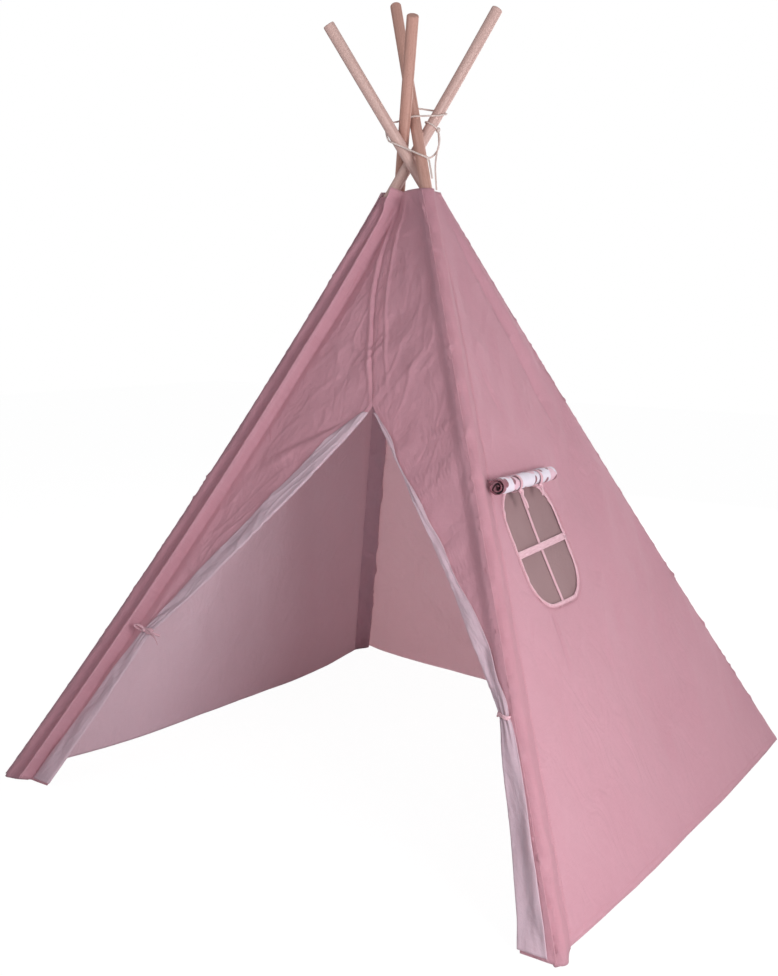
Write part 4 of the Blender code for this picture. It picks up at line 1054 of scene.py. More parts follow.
z, share, u = wall_grid("front_right", 220, 150)
distance = window_distance(u, z)
slope_u = (window_distance(u + 0.0005, z) - window_distance(u - 0.0005, z)) / 0.001
slope_z = (window_distance(u, z + 0.0005) - window_distance(u, z - 0.0005)) / 0.001
near = np.abs(distance) < MOVED_WITHIN
pull = np.where(near, distance, 0) / np.maximum(slope_u**2 + slope_z**2, 0.5)
u, z = u - pull * slope_u, z - pull * slope_z
share = u / wall_width("front_right", z)
inside = window_distance(u, z) < -0.0004
keep = ~(inside[:-1, :-1] | inside[1:, :-1] | inside[:-1, 1:] | inside[1:, 1:])
right_wall = wall_cloth("right_wall", "front_right", z, share, right_lift(u, z, share), keep)
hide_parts("right_panel")
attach(right_wall, "right_frame")

# %% [markdown]
# A ribbon folded over the opening's edge binds it: rings of the outline, one outside the other, each at its
# own height on the wall. The net is the same outline filled from its middle, a little behind the wall's face,
# and two ribbons cross it.

# %% Window binding and net


def on_right_wall(u, z, out=0.0):
    """A point on the right wall's outer face, this far from its first seam."""
    share = u / wall_width("front_right", z)
    return wall_point("front_right", z, share, right_lift(u, z, share) + out)


ring_offsets = np.array([-0.0022, -0.0016, 0.0004, 0.0012, 0.0023, 0.0033, 0.0041, 0.0044])
ring_heights = np.array([-0.0004, 0.0007, 0.0012, 0.0010, 0.0009, 0.0009, 0.0007, 0.0002])
ring = np.stack([window_edge(offset) for offset in ring_offsets], 0)
ring = np.concatenate([ring, ring[:, :1]], 1)
ring_lift = ring_heights[:, None] + 0.00035 * ripples(ring[..., 0], ring[..., 1], 0.016, 311)
binding_grid = on_right_wall(ring[..., 0], ring[..., 1], ring_lift)
binding_uv = np.stack([ring[..., 0], ring[..., 1]], -1)
binding = cloth("window_border", binding_grid[:, ::-1], binding_uv[:, ::-1], 0.0009, RIBBON, RIBBON)
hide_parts("window_binding")
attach(binding, "right_frame")

reach = np.linspace(0, 1, 26)[:, None]
edge = window_edge(0.009, 120)
edge = np.concatenate([edge, edge[:1]])
centre = np.array([WINDOW_CENTRE, WINDOW_MIDDLE])
net_at = centre + (edge[None] - centre) * np.maximum(reach, 0.004)[..., None]
net_lift = -0.0021 + crease(net_at[..., 0], net_at[..., 1], (0.050, 0.575), (0.115, 0.520), 0.0025, -0.0014)
net_lift += crease(net_at[..., 0], net_at[..., 1], (0.165, 0.520), (0.250, 0.452), 0.0025, -0.0014)
net_lift += 0.0003 * ripples(net_at[..., 0], net_at[..., 1], 0.07, 312)
net_grid = on_right_wall(net_at[..., 0], net_at[..., 1], net_lift)
net = cloth("net_pane", net_grid[:, ::-1], net_at[:, ::-1], 0.0005, NET_AND_INSIDE_SHADE, NET_AND_INSIDE_SHADE)
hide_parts("window_net")
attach(net, "right_frame")
print("window:", [round(float(np.ptp(edge[:, i])), 3) for i in (0, 1)], "m over the net")

# %% Ribbons over the net
RIBBON_THICK = 0.0009


def ribbon(name, path, way, width):
    """A strip along a path, this wide along way, arched a little across and closed all round."""
    _, across, face = frames(path, way)
    t = np.linspace(-0.5, 0.5, 6)
    wide = np.broadcast_to(width, len(path))[:, None]
    arch = 0.06 * wide * (1 - (2 * t) ** 2)
    middle = path[:, None] + across[:, None] * (wide * t)[..., None] + face[:, None] * arch[..., None]
    uv = np.stack([wide * t, lengths(path)[:, None] + 0 * t], -1)
    return cloth(name, middle, uv, RIBBON_THICK, RIBBON, RIBBON)


def across_window(height, share):
    """The place at this height and this share of the window's half width, along its lean."""
    return WINDOW_CENTRE + WINDOW_LEAN * (height - WINDOW_MIDDLE) + share * WINDOW_WIDTH / 2, height


def bar(name, start, end, width, out, bow):
    """A ribbon over the window between two places (from the first seam, height), bowed by a sine."""
    t = np.linspace(0, 1, 40)
    at = np.array(start) + (np.array(end) - np.array(start)) * t[:, None]
    path = on_right_wall(at[:, 0] + bow * np.sin(np.pi * t), at[:, 1], out)
    way = unit(np.cross(path[-1] - path[0], (1, 0, 0.5)))
    made = ribbon(name.replace("window", "pane"), path, way, width)
    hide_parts(name)
    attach(made, "right_frame")
    print(name, round(float(lengths(path)[-1]), 3), "m long")


bar("window_bar_vertical", across_window(0.435, -0.03), across_window(0.640, -0.03), 0.0070, 0.0, -0.004)
bar("window_bar_horizontal", across_window(0.530, -1.00), across_window(0.537, 1.00), 0.0130, 0.0012, 0.0)

# %% [markdown]
# ## Front wall
#
# The front wall has two halves. Above the doorway's apex they meet in a seam that leans to the left at the
# top, and long pleats run down beside it. Below the apex each half is cut away along the doorway's edge. Both
# halves take their relief from one function, so they meet in the seam without a step.

# %% Doorway edges
SEAM_SHARE = {"top": 0.22, "apex": 0.53}
MARGIN = {"left": (0.050, 0.055, -0.014), "right": (0.023, 0.058, 0.012)}


def seam_share(z):
    """The centre seam's place across the front wall, from the apex of the doorway to the cover's top."""
    t = (z - DOOR_APEX) / (COVER_TOP - DOOR_APEX)
    return SEAM_SHARE["apex"] + (SEAM_SHARE["top"] - SEAM_SHARE["apex"]) * t


def door_share(side, z):
    """The doorway's edge: a shallow arc from the apex to the tie, and a line from there to the hem."""
    z = np.asarray(z, float)
    at_tie, at_hem, bow = MARGIN[side]
    width = wall_width("front_left", z)
    first = SEAM_SHARE["apex"] if side == "left" else 1 - SEAM_SHARE["apex"]
    apex_margin = first * float(wall_width("front_left", DOOR_APEX))
    down = np.clip((DOOR_APEX - z) / (DOOR_APEX - TIE_HEIGHT), 0, 1)
    upper = apex_margin + (at_tie - apex_margin) * down - 4 * down * (1 - down) * bow
    lower = at_tie + (at_hem - at_tie) * np.clip(1 - z / TIE_HEIGHT, 0, 1)
    margin = np.where(z > TIE_HEIGHT, upper, lower) / width
    share = margin if side == "left" else 1 - margin
    return np.where(z >= DOOR_APEX, seam_share(z), share)


# %% Front halves
FRONT_PULLS = (
    ((0.050, 0.660), (0.200, 0.750), 0.006, -0.0034),
    ((0.050, 0.640), (0.200, 0.730), 0.016, 0.0040),
)
APEX_CREASES = ((0.120, 0.060), (0.138, 0.080), (0.152, 0.070), (0.258, 0.050), (0.285, 0.045))
APEX_CREASES_FROM = 0.835
START_VALLEY = 0.0075
END_RECESS = 0.009
HALVES_APART = 0.0002


def seam_pleats(u, z, width):
    """A ridge with a dent beside it along the centre seam, and a second ridge that spreads downwards."""
    line = u - seam_share(z) * width + 0.020 * smooth((z - DOOR_APEX) / 0.27)
    down = (COVER_TOP - z) / (COVER_TOP - DOOR_APEX)
    ridge = 0.0034 * np.exp(-(((line + 0.007) / 0.0048) ** 2)) - 0.0024 * np.exp(-((line / 0.0030) ** 2))
    second = 0.0020 * np.exp(-(((line - 0.022 - 0.014 * down) / 0.0035) ** 2))
    return ridge + second


def front_lift(u, z, share):
    """Ripples and pulls, settled at the seams, with the pleats, a valley at the start and a recess."""
    width = wall_width("front_left", z)
    high = smooth((z - 0.76) / 0.10)
    lift = 0.0004 * high * np.cos(TAU * 4 * (u - seam_share(z) * width) / width)
    lift += 0.0024 * ripples(u, z, 0.34, 401, 1.5) + 0.0008 * ripples(u, z, 0.08, 402, 2.0)
    lift += 0.0018 * creased(u, z, 0.13, 403, 2.0) + 0.0010 * creased(u, z, 0.045, 405, 2.6)
    for fold in FRONT_PULLS:
        lift += crease(u, z, *fold)
    for at, tall in APEX_CREASES:
        start, end = (at, APEX_CREASES_FROM), (at + 0.010, APEX_CREASES_FROM + tall)
        lift += crease(u, z, start, end, 0.0035, 0.0022)
    lift += fan(u, z, (0.030, 0.330), 9, 0.10, 0.0034, 1.15, 0.8)
    lift += fan(u, z, (width - 0.020, 0.330), 9, 0.09, 0.0018, 1.95, 0.8)
    lift = settle("front_left", z, share, lift, 404, 0.0010)
    lift += high * smooth((COVER_TOP - z) / 0.03) * seam_pleats(u, z, width)
    from_start, from_end = share * width, (1 - share) * width
    lift -= START_VALLEY * np.exp(-from_start / 0.010) * (1 - np.exp(-from_start / 0.003))
    recess = smooth(from_end / 0.034) * (1 - smooth((from_end - 0.06) / 0.30))
    return lift - END_RECESS * recess * smooth((COVER_TOP - z) / 0.05) * smooth(z / 0.05)


def front_half(side, columns):
    """The wall's grid from its seam to the doorway's edge, or from there to the other seam."""
    s = shares_across(columns)
    z = np.linspace(HEM, COVER_TOP, 240)[:, None] + 0 * s
    width = wall_width("front_left", z[:, :1])
    edge = door_share(side, z[:, :1])
    hair = HALVES_APART / width
    tuck = TUCK / width
    if side == "left":
        share = -tuck + s * (edge - hair + tuck)
    else:
        share = edge + hair + s * (1 + tuck - edge - hair)
    u = share * wall_width("front_left", z)
    made = wall_cloth(f"front_{side}_wall", "front_left", z, share, front_lift(u, z, share))
    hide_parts(f"front_{side}_panel")
    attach(made, f"front_{side}_half")


front_half("left", 90)
front_half("right", 90)

# %% [markdown]
# ## Door flaps
#
# The two doors are turned outwards over the front wall, and show their paler wrong side. In section each is a
# hairpin: it leaves the doorway's edge, turns back, and lies over the wall up to its free edge. Where a tie
# gathers it, it is narrow and full of small folds. The flap is laid on the wall's own surface, so it follows
# every fold below it.

# %% Flaps
FLAP = {"left": (0.036, 0.8), "right": (0.014, 3.2)}
FLAP_CLOTH = 0.0012
FLAP_BEND = 0.0026
FLAP_CLEAR = 0.0024


def flap_width(side, z):
    """Narrow at the apex, fullest on the way down, gathered at the tie and spread again at the hem."""
    wide, fullest = FLAP[side]
    down = np.clip((DOOR_APEX - z) / (DOOR_APEX - TIE_HEIGHT), 0, 1)
    above = 0.006 + 0.014 * down + wide * np.sin(np.pi * down**fullest) ** 0.8
    below = 0.020 + 0.030 * np.clip(1 - z / TIE_HEIGHT, 0, 1) ** 0.5
    return np.where(z < TIE_HEIGHT, below, above)


def door_flap(side, seed):
    """The hairpin's half circle and its run over the wall, at each height, as across and out of the wall."""
    z = np.linspace(0.006, DOOR_APEX - 0.012, 220)[:, None]
    turn = np.linspace(-np.pi / 2, np.pi / 2, 12)
    t = np.linspace(0, 1, 30)[1:]
    wide = flap_width(side, z)
    gather = np.exp(-(((z - TIE_HEIGHT) / 0.030) ** 2))
    bend = FLAP_BEND - 0.0006 * gather
    over = wide - 0.003
    ripple = ripples(t[None] * 0.06 + 0 * z, z + 0 * t, 0.07, seed, 1.5)
    lift = FLAP_CLEAR + (2 * bend - FLAP_CLEAR) * (1 - t) ** 1.5
    lift = lift + 0.0011 * (ripple + 0.6) * np.sin(np.pi * np.clip(t * 0.75, 0, 1)) * (1 - 0.5 * gather)
    lift = lift + 0.0014 * gather * (1 + np.cos(TAU * 2.6 * t + 9 * (z - TIE_HEIGHT)))
    s = np.concatenate([-0.003 * np.cos(turn) + 0 * z, over * t], 1)
    o = np.concatenate([bend * (1 + np.sin(turn)), np.maximum(lift, 0.0021)], 1)
    heights = z + 0 * s
    edge_wave = 0.0025 * ripples(z * 0, z, 0.11, seed + 3) * smooth((z - TIE_HEIGHT) / 0.05)
    s = s + edge_wave * np.concatenate([0 * turn, t**2])
    sign = -1 if side == "left" else 1
    width = wall_width("front_left", heights)
    share = door_share(side, heights) + sign * s / width
    u = share * width
    middle = wall_point("front_left", heights, share, front_lift(u, heights, share) + o)
    along = np.concatenate([np.linspace(0, 0.008, 12), 0.008 + 0.05 * t])
    uv = np.stack([along[None] + 0 * heights, heights * SLANT], -1)
    if side == "left":
        middle, uv = middle[:, ::-1], uv[:, ::-1]
    made = cloth(f"{side}_door", middle, uv, FLAP_CLOTH, LINING, ROSE)
    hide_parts(f"{side}_door_flap")
    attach(made, f"{side}_door")


door_flap("left", 501)
door_flap("right", 511)

# %% [markdown]
# A ribbon holds each gathered flap to the wall, and the left one is tied in a bow. Every ribbon is a strip
# carried along a path, and the path follows the wall and the flap that it holds. A knot tied for real would
# be lost at this size, so it is an oval with grooves in which the strips start.

# %% Ties round the flaps


def on_front(side, z, s, out):
    """A point this far from the doorway's edge towards the flap's free edge, and out of the front wall."""
    z, s = np.broadcast_arrays(np.asarray(z, float), np.asarray(s, float))
    sign = -1 if side == "left" else 1
    width = wall_width("front_left", z)
    share = door_share(side, z) + sign * s / width
    return wall_point("front_left", z, share, front_lift(share * width, z, share) + out)


def flap_tie(side):
    """A ribbon that hugs the gathered flap: a flat half loop from the wall, over the flap, to the wall."""
    turn = np.linspace(0, np.pi, 40)
    s = 0.0070 - 0.0122 * np.cos(turn)
    o = 0.0014 + 0.0090 * np.sin(turn) ** 0.6
    path = on_front(side, TIE_HEIGHT + 0.0015 * np.sin(2 * turn), s, o)
    made = ribbon(f"{side}_tie_ring", path, (0.25, -0.1, 1), 0.0075)
    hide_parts(f"{side}_door_tie")
    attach(made, f"{side}_door")
    print(side, "tie:", round(float(lengths(path)[-1]), 3), "m over the flap")


flap_tie("left")
flap_tie("right")

# %% Bow
BOW_WIDTH = 0.0052


def join(name, objects):
    """Several meshes as one."""
    with bpy.context.temp_override(active_object=objects[0], selected_editable_objects=objects):
        bpy.ops.object.join()
    objects[0].name = name
    return objects[0]


def lump(name, centre, axes, size, finish, wraps=2):
    """A knot: an oval whose radius dips along turned grooves, as where ribbons cross."""
    rings, spokes = 18, 28
    turns = np.linspace(0, TAU, spokes, endpoint=False)
    rises = np.linspace(-1, 1, rings) * np.pi / 2 * 0.98
    turn, rise = np.meshgrid(turns, rises, indexing="xy")
    groove = 0.12 * np.exp(-(((rise - 0.6 * np.sin(turn)) / 0.3) ** 2))
    swell = 1 + 0.10 * np.cos(wraps * turn + 3 * rise) - groove
    ball = np.stack([np.cos(rise) * np.cos(turn), np.cos(rise) * np.sin(turn), np.sin(rise)], -1)
    points = np.asarray(centre) + (ball * swell[..., None] * np.asarray(size)) @ np.asarray(axes)
    points = points.reshape(-1, 3)
    own, laid = grid_cells(rings, spokes, wrap=True)
    uv = np.stack(np.meshgrid(np.linspace(0, 0.02, spokes + 1), np.linspace(0, 0.01, rings)), -1)
    uv = uv.reshape(-1, 2)
    caps = [np.arange(spokes)[None, ::-1], (rings - 1) * spokes + np.arange(spokes)[None]]
    cap_uv = [0 * points[cap][..., :2] for cap in caps]
    return add_mesh(name, points, [own, *caps], [uv[laid], *cap_uv], (finish,))


def door_bow():
    """Two loops and two tails out of a knot, which sits on the left tie."""
    centre = on_front("left", TIE_HEIGHT, 0.007, 0.0125)
    beside = [on_front("left", TIE_HEIGHT, s, 0.0125) for s in (0.012, 0.002)]
    across = unit(beside[0] - beside[1])
    up = unit(np.array([0, 0, 1]) - across * across[2])
    out = np.cross(up, across)
    out = out if out[1] < 0 else -out

    def loop(way, long, rise):
        """A drop shape: out and back by a cosine, open by a sine, and lifted in its middle."""
        turn = np.linspace(0.05, 1.95, 40)[:, None] * np.pi
        far = long * (1 - np.cos(turn)) / 2
        opened = rise * far + 0.17 * long * np.sin(turn)
        return centre + way * far + up * opened + out * 0.10 * long * np.sin(turn / 2) ** 2

    def tail(way, long, drop, wave):
        """A straight run that falls by a square and waves by a sine."""
        t = np.linspace(0, 1, 30)[:, None]
        wavy = 0.003 + wave * np.sin(2.2 * np.pi * t)
        return centre + way * long * t - up * drop * t**2 + out * wavy * t**0.5

    tilt = unit(out - up * 0.35)
    strips = [
        ribbon("loop_a", loop(across, 0.024, 0.25), tilt, BOW_WIDTH),
        ribbon("loop_b", loop(-across, 0.023, -0.05), tilt, BOW_WIDTH),
        ribbon("tail_a", tail(-across, 0.040, 0.022, 0.002), unit(up + out * 0.3), BOW_WIDTH),
        ribbon("tail_b", tail(-across, 0.044, 0.004, -0.002), unit(up - out * 0.2), BOW_WIDTH),
    ]
    knot = lump("bow_knot", centre, (across, up, out), (0.0052, 0.0044, 0.0036), RIBBON)
    made = join("bow", [knot, *strips])
    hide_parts("left_door_bow")
    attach(made, "left_door")
    print("bow:", len(made.data.polygons), "faces")


door_bow()

# %% [markdown]
# ## Rolled blind
#
# The blind is a printed cloth rolled up above the window. Seen from its end it is a spiral, whose outer end
# goes up the wall to its seam, so one section carried along the roll makes all of it. The two ribbons draw it
# in, and between them the cloth is a little fuller.

# %% Blind
ROLL_RADIUS = 0.0158
ROLL_HEIGHT = WINDOW_HIGH + 0.003
ROLL_START = -0.014
ROLL_LENGTH = 0.220
ROLL_OUT = 0.0170
ROLL_TIES = (0.30, 0.68)
ROLL_TURNS = 2.25
ROLL_CORE = 0.0030
ROLL_PINCH = 0.11
ROLL_TAPER = 0.07


def plain_right(u, z, out):
    """A point of the right wall without its ripples, this far out."""
    return wall_point("front_right", z, u / wall_width("front_right", z), out)


roll_ends = [
    plain_right(ROLL_START, ROLL_HEIGHT - 0.001, ROLL_OUT + 0.008),
    plain_right(ROLL_START + ROLL_LENGTH, ROLL_HEIGHT + 0.001, ROLL_OUT),
]
roll_along = unit(roll_ends[1] - roll_ends[0])
rise = pole_way("front_right", WINDOW_HIGH) + pole_way("back_right", WINDOW_HIGH)
sides = wall_sides("front_right", WINDOW_HIGH)
roll_out = unit(np.cross(sides[1] - sides[0], rise))
roll_out = unit(roll_out - roll_along * dot(roll_out, roll_along))
roll_up = np.cross(roll_out, roll_along)


def roll_pinch(t):
    """The share of the radius that is drawn in: a bell at each tie."""
    return sum(ROLL_PINCH * np.exp(-(((t - tie) / 0.035) ** 2)) for tie in ROLL_TIES)


def blind_roll():
    """A spiral in (out, up) at each place along the roll, and the strip from its top to the seam."""
    t = np.linspace(0, 1, 120)[:, None]
    turns = np.linspace(0, 1, 96)[None]
    angle = math.radians(100) - TAU * ROLL_TURNS * (1 - turns)
    grown = ROLL_CORE + (ROLL_RADIUS - 0.0008 - ROLL_CORE) * turns
    grown = grown * (1 - roll_pinch(t)) * (1 - ROLL_TAPER * t)
    wobble = 1 + 0.035 * turns * ripples(t * ROLL_LENGTH + 0 * turns, angle * 0.012 + 0 * t, 0.035, 601)
    p, q = grown * wobble * np.cos(angle), grown * wobble * np.sin(angle)
    wall_at = 0.0022 - ROLL_OUT
    top_p = np.array([0.40, 0.62, 0.80, 0.92, 0.98, 1.0]) * wall_at - 0.006 * (1 - t) * np.linspace(0, 1, 6)
    top_q = np.array([0.95, 0.97, 1.00, 1.04, 1.09, 1.15]) * ROLL_RADIUS
    over_sleeve = 0.0075 * smooth((0.010 - ROLL_START - t * ROLL_LENGTH) / 0.014)
    p = np.concatenate([p, top_p + over_sleeve * np.linspace(0.3, 1, 6)], 1)
    q = np.concatenate([q, top_q + 0 * t], 1)
    shift = 0.0020 * ripples(p * 0 + turns.mean(), p * 0 + np.linspace(0, 0.2, p.shape[1]), 0.05, 605)
    centre = roll_ends[0] + (roll_ends[1] - roll_ends[0]) * t
    ends = np.clip(1 - t / 0.05, 0, 1) - np.clip(1 - (1 - t) / 0.05, 0, 1)
    middle = centre[:, None] + roll_out * p[..., None] + roll_up * q[..., None]
    middle = middle + roll_along * (shift * ends)[..., None]
    path = lengths(np.stack([p[60], q[60]], -1))
    uv = np.stack([t * ROLL_LENGTH + 0 * p, path[None] + 0 * p], -1)
    made = cloth("rolled_blind", middle, uv, 0.0011, PRINT, PRINT)
    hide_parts("window_blind_roll")
    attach(made, "window_blind")
    print("blind:", round(float(path[-1]), 3), "m of cloth in the roll")


blind_roll()

# %% [markdown]
# Two ribbons hold the roll. Each has two ends sewn into the seam. One comes down in front of the roll and one
# behind it, and they are tied below, so short tails hang there. The paths are splines through a few points of
# the roll's own section.

# %% Ribbons of the blind
TIE_WIDTH = 0.0070
KNOT_ANGLE = math.radians(-64)


def curve_through(points, count):
    """A cubic between every two points, whose slope at a point is half the step between its neighbours."""
    points = np.asarray(points, float)
    last = len(points) - 1
    t = np.linspace(0, last, count)
    i = np.minimum(t.astype(int), last - 1)
    f = (t - i)[:, None]
    a, b, c, d = (points[np.clip(i + k, 0, last)] for k in (-1, 0, 1, 2))
    return 0.5 * (2 * b + (c - a) * f + (2 * a - 5 * b + 4 * c - d) * f**2 + (3 * b - a - 3 * c + d) * f**3)


def blind_tie(name, t, tails, lean):
    """Ribbon from the seam down over the roll, another behind it, a knot below and two hanging tails."""
    centre = roll_ends[0] + (roll_ends[1] - roll_ends[0]) * t
    radius = ROLL_RADIUS * (1 - ROLL_PINCH) * (1 - ROLL_TAPER * t) + 0.0016

    def place(p, q):
        """The point this far out of the roll's axis and up from it."""
        return centre + roll_out * np.asarray(p)[..., None] + roll_up * np.asarray(q)[..., None]

    seam = 0.0042 - ROLL_OUT
    turn = np.radians(np.linspace(78, -62, 14))
    p = np.concatenate([np.array([1.0, 0.97, 0.80, 0.42]) * seam, radius * np.cos(turn)])
    q = np.concatenate([np.array([1.20, 1.15, 1.10, 1.04]) * ROLL_RADIUS, radius * np.sin(turn)])
    front = curve_through(place(p, q), 60)
    turn = np.radians(np.linspace(166, 296, 12))
    behind = curve_through(place(radius * np.cos(turn), radius * np.sin(turn)), 40)
    knot_at = place(radius * 1.08 * math.cos(KNOT_ANGLE), radius * 1.08 * math.sin(KNOT_ANGLE))
    strips = [
        ribbon("front_strip", front, roll_along, TIE_WIDTH),
        ribbon("back_strip", behind, roll_along, TIE_WIDTH),
    ]
    for side, tail in zip((-1, 1), tails):
        s = np.linspace(0, 1, 24)[:, None]
        down = knot_at + roll_along * (side * 0.0015 * (1 + 2 * s) + lean * tail * s**1.5)
        down = down - roll_up * tail * s + roll_out * 0.0022 * np.sin(4 * s + side)
        strips.append(ribbon(f"tail_{side}", down, roll_along, 0.0062))
    knot = lump("tie_knot", knot_at, (roll_along, roll_out, roll_up), (0.0050, 0.0034, 0.0038), RIBBON)
    made = join(name.replace("blind", "roll"), [knot, *strips])
    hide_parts(name)
    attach(made, "window_blind")
    print(name, "hangs", max(tails), "m below the roll")


blind_tie("blind_tie_front", ROLL_TIES[0], (0.034, 0.012), 0.20)
blind_tie("blind_tie_back", ROLL_TIES[1], (0.020, 0.010), -0.25)

# %% [markdown]
# ## Lashing
#
# A twisted cotton cord winds loosely round the crossing. Its way is a list of places: a pole, a height, and
# the side of the pole that the cord touches there. Between two places on one pole it follows the wood, and
# between two poles it runs straight. A bevelled curve would be smooth, so the cord is a tube whose section
# has three lobes that turn along it, as strands do. Two tails hang from the knot on the front left pole.

# %% Lashing cord
CORD_DIAMETER = 0.0036
WINDS = (
    ("front_right", 1.321, 205),
    ("front_right", 1.331, 134),
    ("front_left", 1.324, 134),
    ("front_left", 1.3185, 60),
    ("front_left", 1.312, -46),
    ("front_right", 1.309, -46),
    ("front_right", 1.308, -75),
    ("back_left", 1.302, 137),
    ("back_right", 1.2925, 137),
    ("back_right", 1.262, 215),
    ("back_right", 1.253, 283),
    ("front_right", 1.236, 283),
    ("front_right", 1.224, 380),
    ("front_right", 1.190, 380),
)


def on_pole(corner, z, turn, clear):
    """The point beside a pole at height z, in the level direction turn, this far off square to the pole."""
    facing = np.stack([np.cos(turn), np.sin(turn), 0 * turn], -1)
    way = pole_way(corner, z)
    lean = dot(way, facing) / way[..., 2:]
    return pole_point(corner, z) + facing * clear * np.sqrt(1 + lean**2)


def lashing_points():
    """The cord's places, with one every 15 degrees where it follows a pole round."""
    clear = POLE_RADIUS + CORD_DIAMETER / 2 + 0.0012
    found = []
    for (corner, z, turn), (next_corner, next_z, next_turn) in zip(WINDS, WINDS[1:]):
        steps = max(2, round(abs(next_turn - turn) / 15) + 1) if corner == next_corner else 1
        t = np.linspace(0, 1, steps, endpoint=False)
        found.append(on_pole(corner, z + (next_z - z) * t, np.radians(turn + (next_turn - turn) * t), clear))
    corner, z, turn = WINDS[-1]
    found.append(on_pole(corner, np.array([z]), np.radians(np.array([turn])), clear))
    return np.concatenate(found)


lash_path = curve_through(lashing_points(), 900)
lashing = tube("cord_winding", lash_path, CORD_DIAMETER / 2, (0.2, -0.1, 1), CORD, 15, strands=3)
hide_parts("lashing_cord")
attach(lashing, "right_frame")
print("lashing:", round(float(lengths(lash_path)[-1]), 3), "m of cord")

# %% [markdown]
# The cord ends in a knot on the front left pole: a ring of cord round the pole, and an oval on it. A tail is
# a spline through a few places, each given as how far aside it lies and how far down.

# %% Knot and tails
KNOT_HEIGHT = 1.295
KNOT_FACES = math.radians(35)
RING_OPENS = math.radians(22)
LONG_TAIL = ((0.003, 0.020), (-0.002, 0.045), (-0.004, 0.072), (-0.001, 0.112))
SHORT_TAIL = ((0.002, 0.018), (0.001, 0.034), (-0.008, 0.047), (-0.017, 0.051), (-0.024, 0.046))
knot_way = pole_way("front_left", KNOT_HEIGHT)
knot_faced = np.array([math.cos(KNOT_FACES), math.sin(KNOT_FACES), 0])
knot_away = unit(knot_faced - knot_way * dot(knot_faced, knot_way))
knot_beside = np.cross(knot_way, knot_away)
knot_aside = np.cross(knot_faced, (0, 0, 1))
knot_radius = POLE_RADIUS + CORD_DIAMETER / 2 + 0.0004
knot_centre = pole_point("front_left", KNOT_HEIGHT)
knot_turn = np.linspace(RING_OPENS, TAU - RING_OPENS, 120)[:, None]
knot_loop = knot_centre + (knot_away * np.cos(knot_turn) + knot_beside * np.sin(knot_turn)) * knot_radius
knot_ring = tube("knot_ring", knot_loop, CORD_DIAMETER / 2, knot_way, CORD, 15, strands=3)
knot_spot = knot_centre + knot_away * (knot_radius + 0.002)
knot_axes = (knot_away, knot_beside, knot_way)
knot_ball = lump("knot_ball", knot_spot, knot_axes, (0.0042, 0.0052, 0.0048), CORD, 3)
knot = join("cord_knot", [knot_ring, knot_ball])
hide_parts("lashing_knot")
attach(knot, "left_frame")


def cord_tail(name, start, places):
    """A cord's end that leaves the knot and hangs through places given as (aside, down)."""
    spots = [start + knot_faced * aside - np.array([0, 0, down]) for aside, down in places]
    path = curve_through([start, *spots], 200)
    made = tube(name, path, CORD_DIAMETER / 2, knot_aside, CORD, 15, strands=3)
    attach(made, "left_frame")
    print(name, round(float(lengths(path)[-1]), 3), "m of cord")


cord_tail("cord_tail_short", knot_spot + knot_beside * 0.003, SHORT_TAIL)
cord_tail("cord_tail_long", knot_spot - knot_beside * 0.003, LONG_TAIL)

# %% [markdown]
# ## Stitches
#
# Seams and hems are sewn with a slightly brighter thread. A stitch is one short fat bead, copied along a line
# that runs just over the cloth, so it catches the light as real thread does. All the stitches of a wall are
# one mesh, and each bead has only a few faces.

# %% Stitches
STITCH = 0.0026
STITCH_GAP = 0.0016
THREAD_RADIUS = 0.00042
STITCH_ROWS = (0.003, 0.006)


def stitches(name, lines, body):
    """Beads along lines of points: each bead is a ring swept between two closed ends, turned to the line."""
    sides = 5
    turn = np.linspace(0, TAU, sides, endpoint=False)
    rings = np.array([[-1.0, 0.35], [-0.7, 1.0], [0.7, 1.0], [1.0, 0.35]])
    length_at = np.repeat(rings[:, 0], sides) * STITCH / 2
    aside_at = np.outer(rings[:, 1], np.cos(turn)).ravel() * THREAD_RADIUS
    up_at = np.outer(rings[:, 1], np.sin(turn)).ravel() * THREAD_RADIUS
    points = []
    for line, face in lines:
        along = lengths(line)
        at = np.arange(STITCH, along[-1] - STITCH, STITCH + STITCH_GAP)
        spots = np.stack([np.interp(at, along, line[:, i]) for i in range(3)], -1)
        faces_at = np.stack([np.interp(at, along, face[:, i]) for i in range(3)], -1)
        ahead, side, up = frames(spots, faces_at)
        beads = spots[:, None] + length_at[:, None] * ahead[:, None]
        points.append(beads + aside_at[:, None] * side[:, None] + up_at[:, None] * up[:, None])
    points = np.concatenate(points)
    own = grid_cells(len(rings), sides, wrap=True)[0]
    caps = [np.arange(sides)[None, ::-1], (len(rings) - 1) * sides + np.arange(sides)[None]]
    shift = (np.arange(len(points)) * len(rings) * sides)[:, None, None]
    faces = [(own[None] + shift).reshape(-1, 4), *[(cap[None] + shift).reshape(-1, sides) for cap in caps]]
    uvs = [np.zeros((*f.shape, 2)) + points.reshape(-1, 3)[f][..., :2] for f in faces]
    made = add_mesh(name, points.reshape(-1, 3), faces, uvs, (THREAD,))
    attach(made, body)
    print(name, len(points), "stitches")


# %% Seams and hems


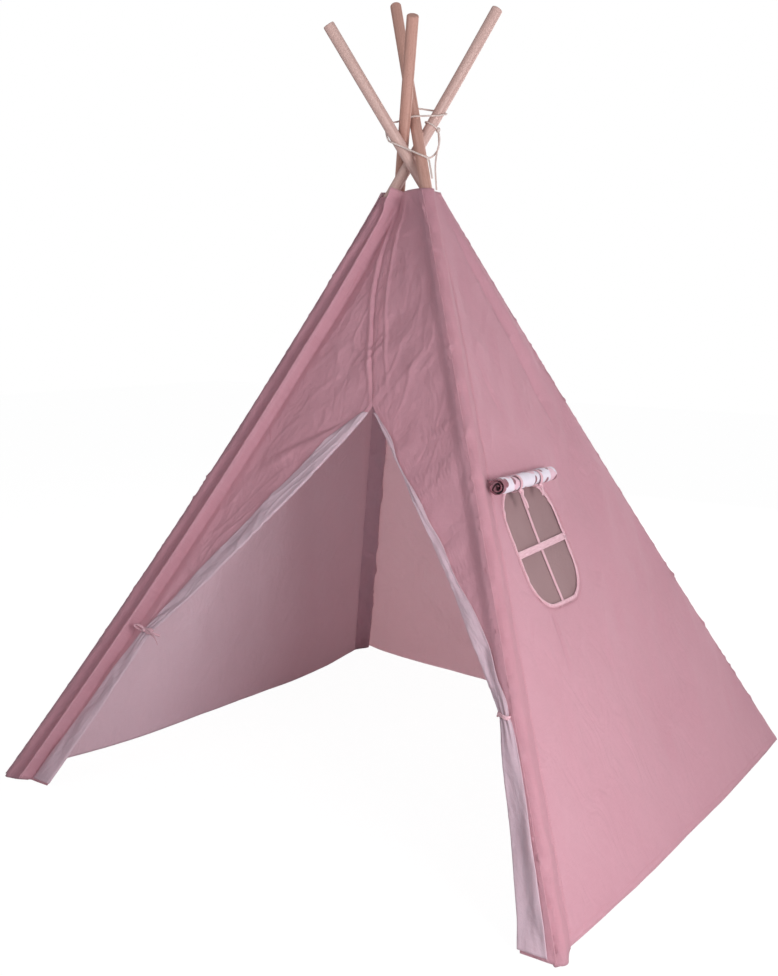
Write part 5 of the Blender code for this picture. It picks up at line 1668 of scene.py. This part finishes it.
def face_out(corner, z):
    """The way out of a wall at height z: square to its width and to the mean of its two poles."""
    start, end = wall_sides(corner, z)
    return unit(np.cross(end - start, pole_way(corner, z) + pole_way(after(corner), z)))


def wall_line(corner, lift_at, u_at, z_at, proud=0.0009):
    """A line on a wall's outer face, and the way out along it."""
    share = u_at / wall_width(corner, z_at)
    return wall_point(corner, z_at, share, lift_at(u_at, z_at, share) + proud), face_out(corner, z_at)


def hem_lines(corner, lift_at):
    """One row along the bottom hem and one along the top."""
    found = []
    for height in (HEM_BAND - 0.003, COVER_TOP - 0.009):
        u_at = np.linspace(0.004, float(wall_width(corner, height)) - 0.004, 400)
        found.append(wall_line(corner, lift_at, u_at, np.full(400, height), 0.0013))
    return found


def seam_lines(corner, lift_at):
    """Two rows up the wall, beside its first seam."""
    z_at = np.linspace(0.01, COVER_TOP - 0.004, 700)
    return [wall_line(corner, lift_at, np.full(700, offset), z_at) for offset in STITCH_ROWS]


def window_lines():
    """Two rows round the window, on the binding and just outside it."""
    found = []
    for offset in (0.0040, 0.0085):
        u_at, z_at = window_edge(offset, 400).T
        found.append((on_right_wall(u_at, z_at, 0.0022), face_out("front_right", z_at)))
    return found


def front_lines(side):
    """Two rows down one side of the front wall's centre seam."""
    z_at = np.linspace(DOOR_APEX + 0.004, COVER_TOP - 0.004, 300)
    sign = -1 if side == "left" else 1
    found = []
    for offset in STITCH_ROWS:
        u_at = seam_share(z_at) * wall_width("front_left", z_at) + sign * offset
        found.append(wall_line("front_left", front_lift, u_at, z_at))
    return found


right_rows = seam_lines("front_right", right_lift) + hem_lines("front_right", right_lift) + window_lines()
left_rows = seam_lines("back_left", left_lift) + hem_lines("back_left", left_lift)
front_rows = front_lines("left") + seam_lines("front_left", front_lift)
stitches("stitches_right", right_rows, "right_frame")
stitches("stitches_left", left_rows, "left_frame")
stitches("stitches_front_left", front_rows, "front_left_half")
stitches("stitches_front_right", front_lines("right"), "front_right_half")

# %% Finish
bpy.context.view_layer.update()
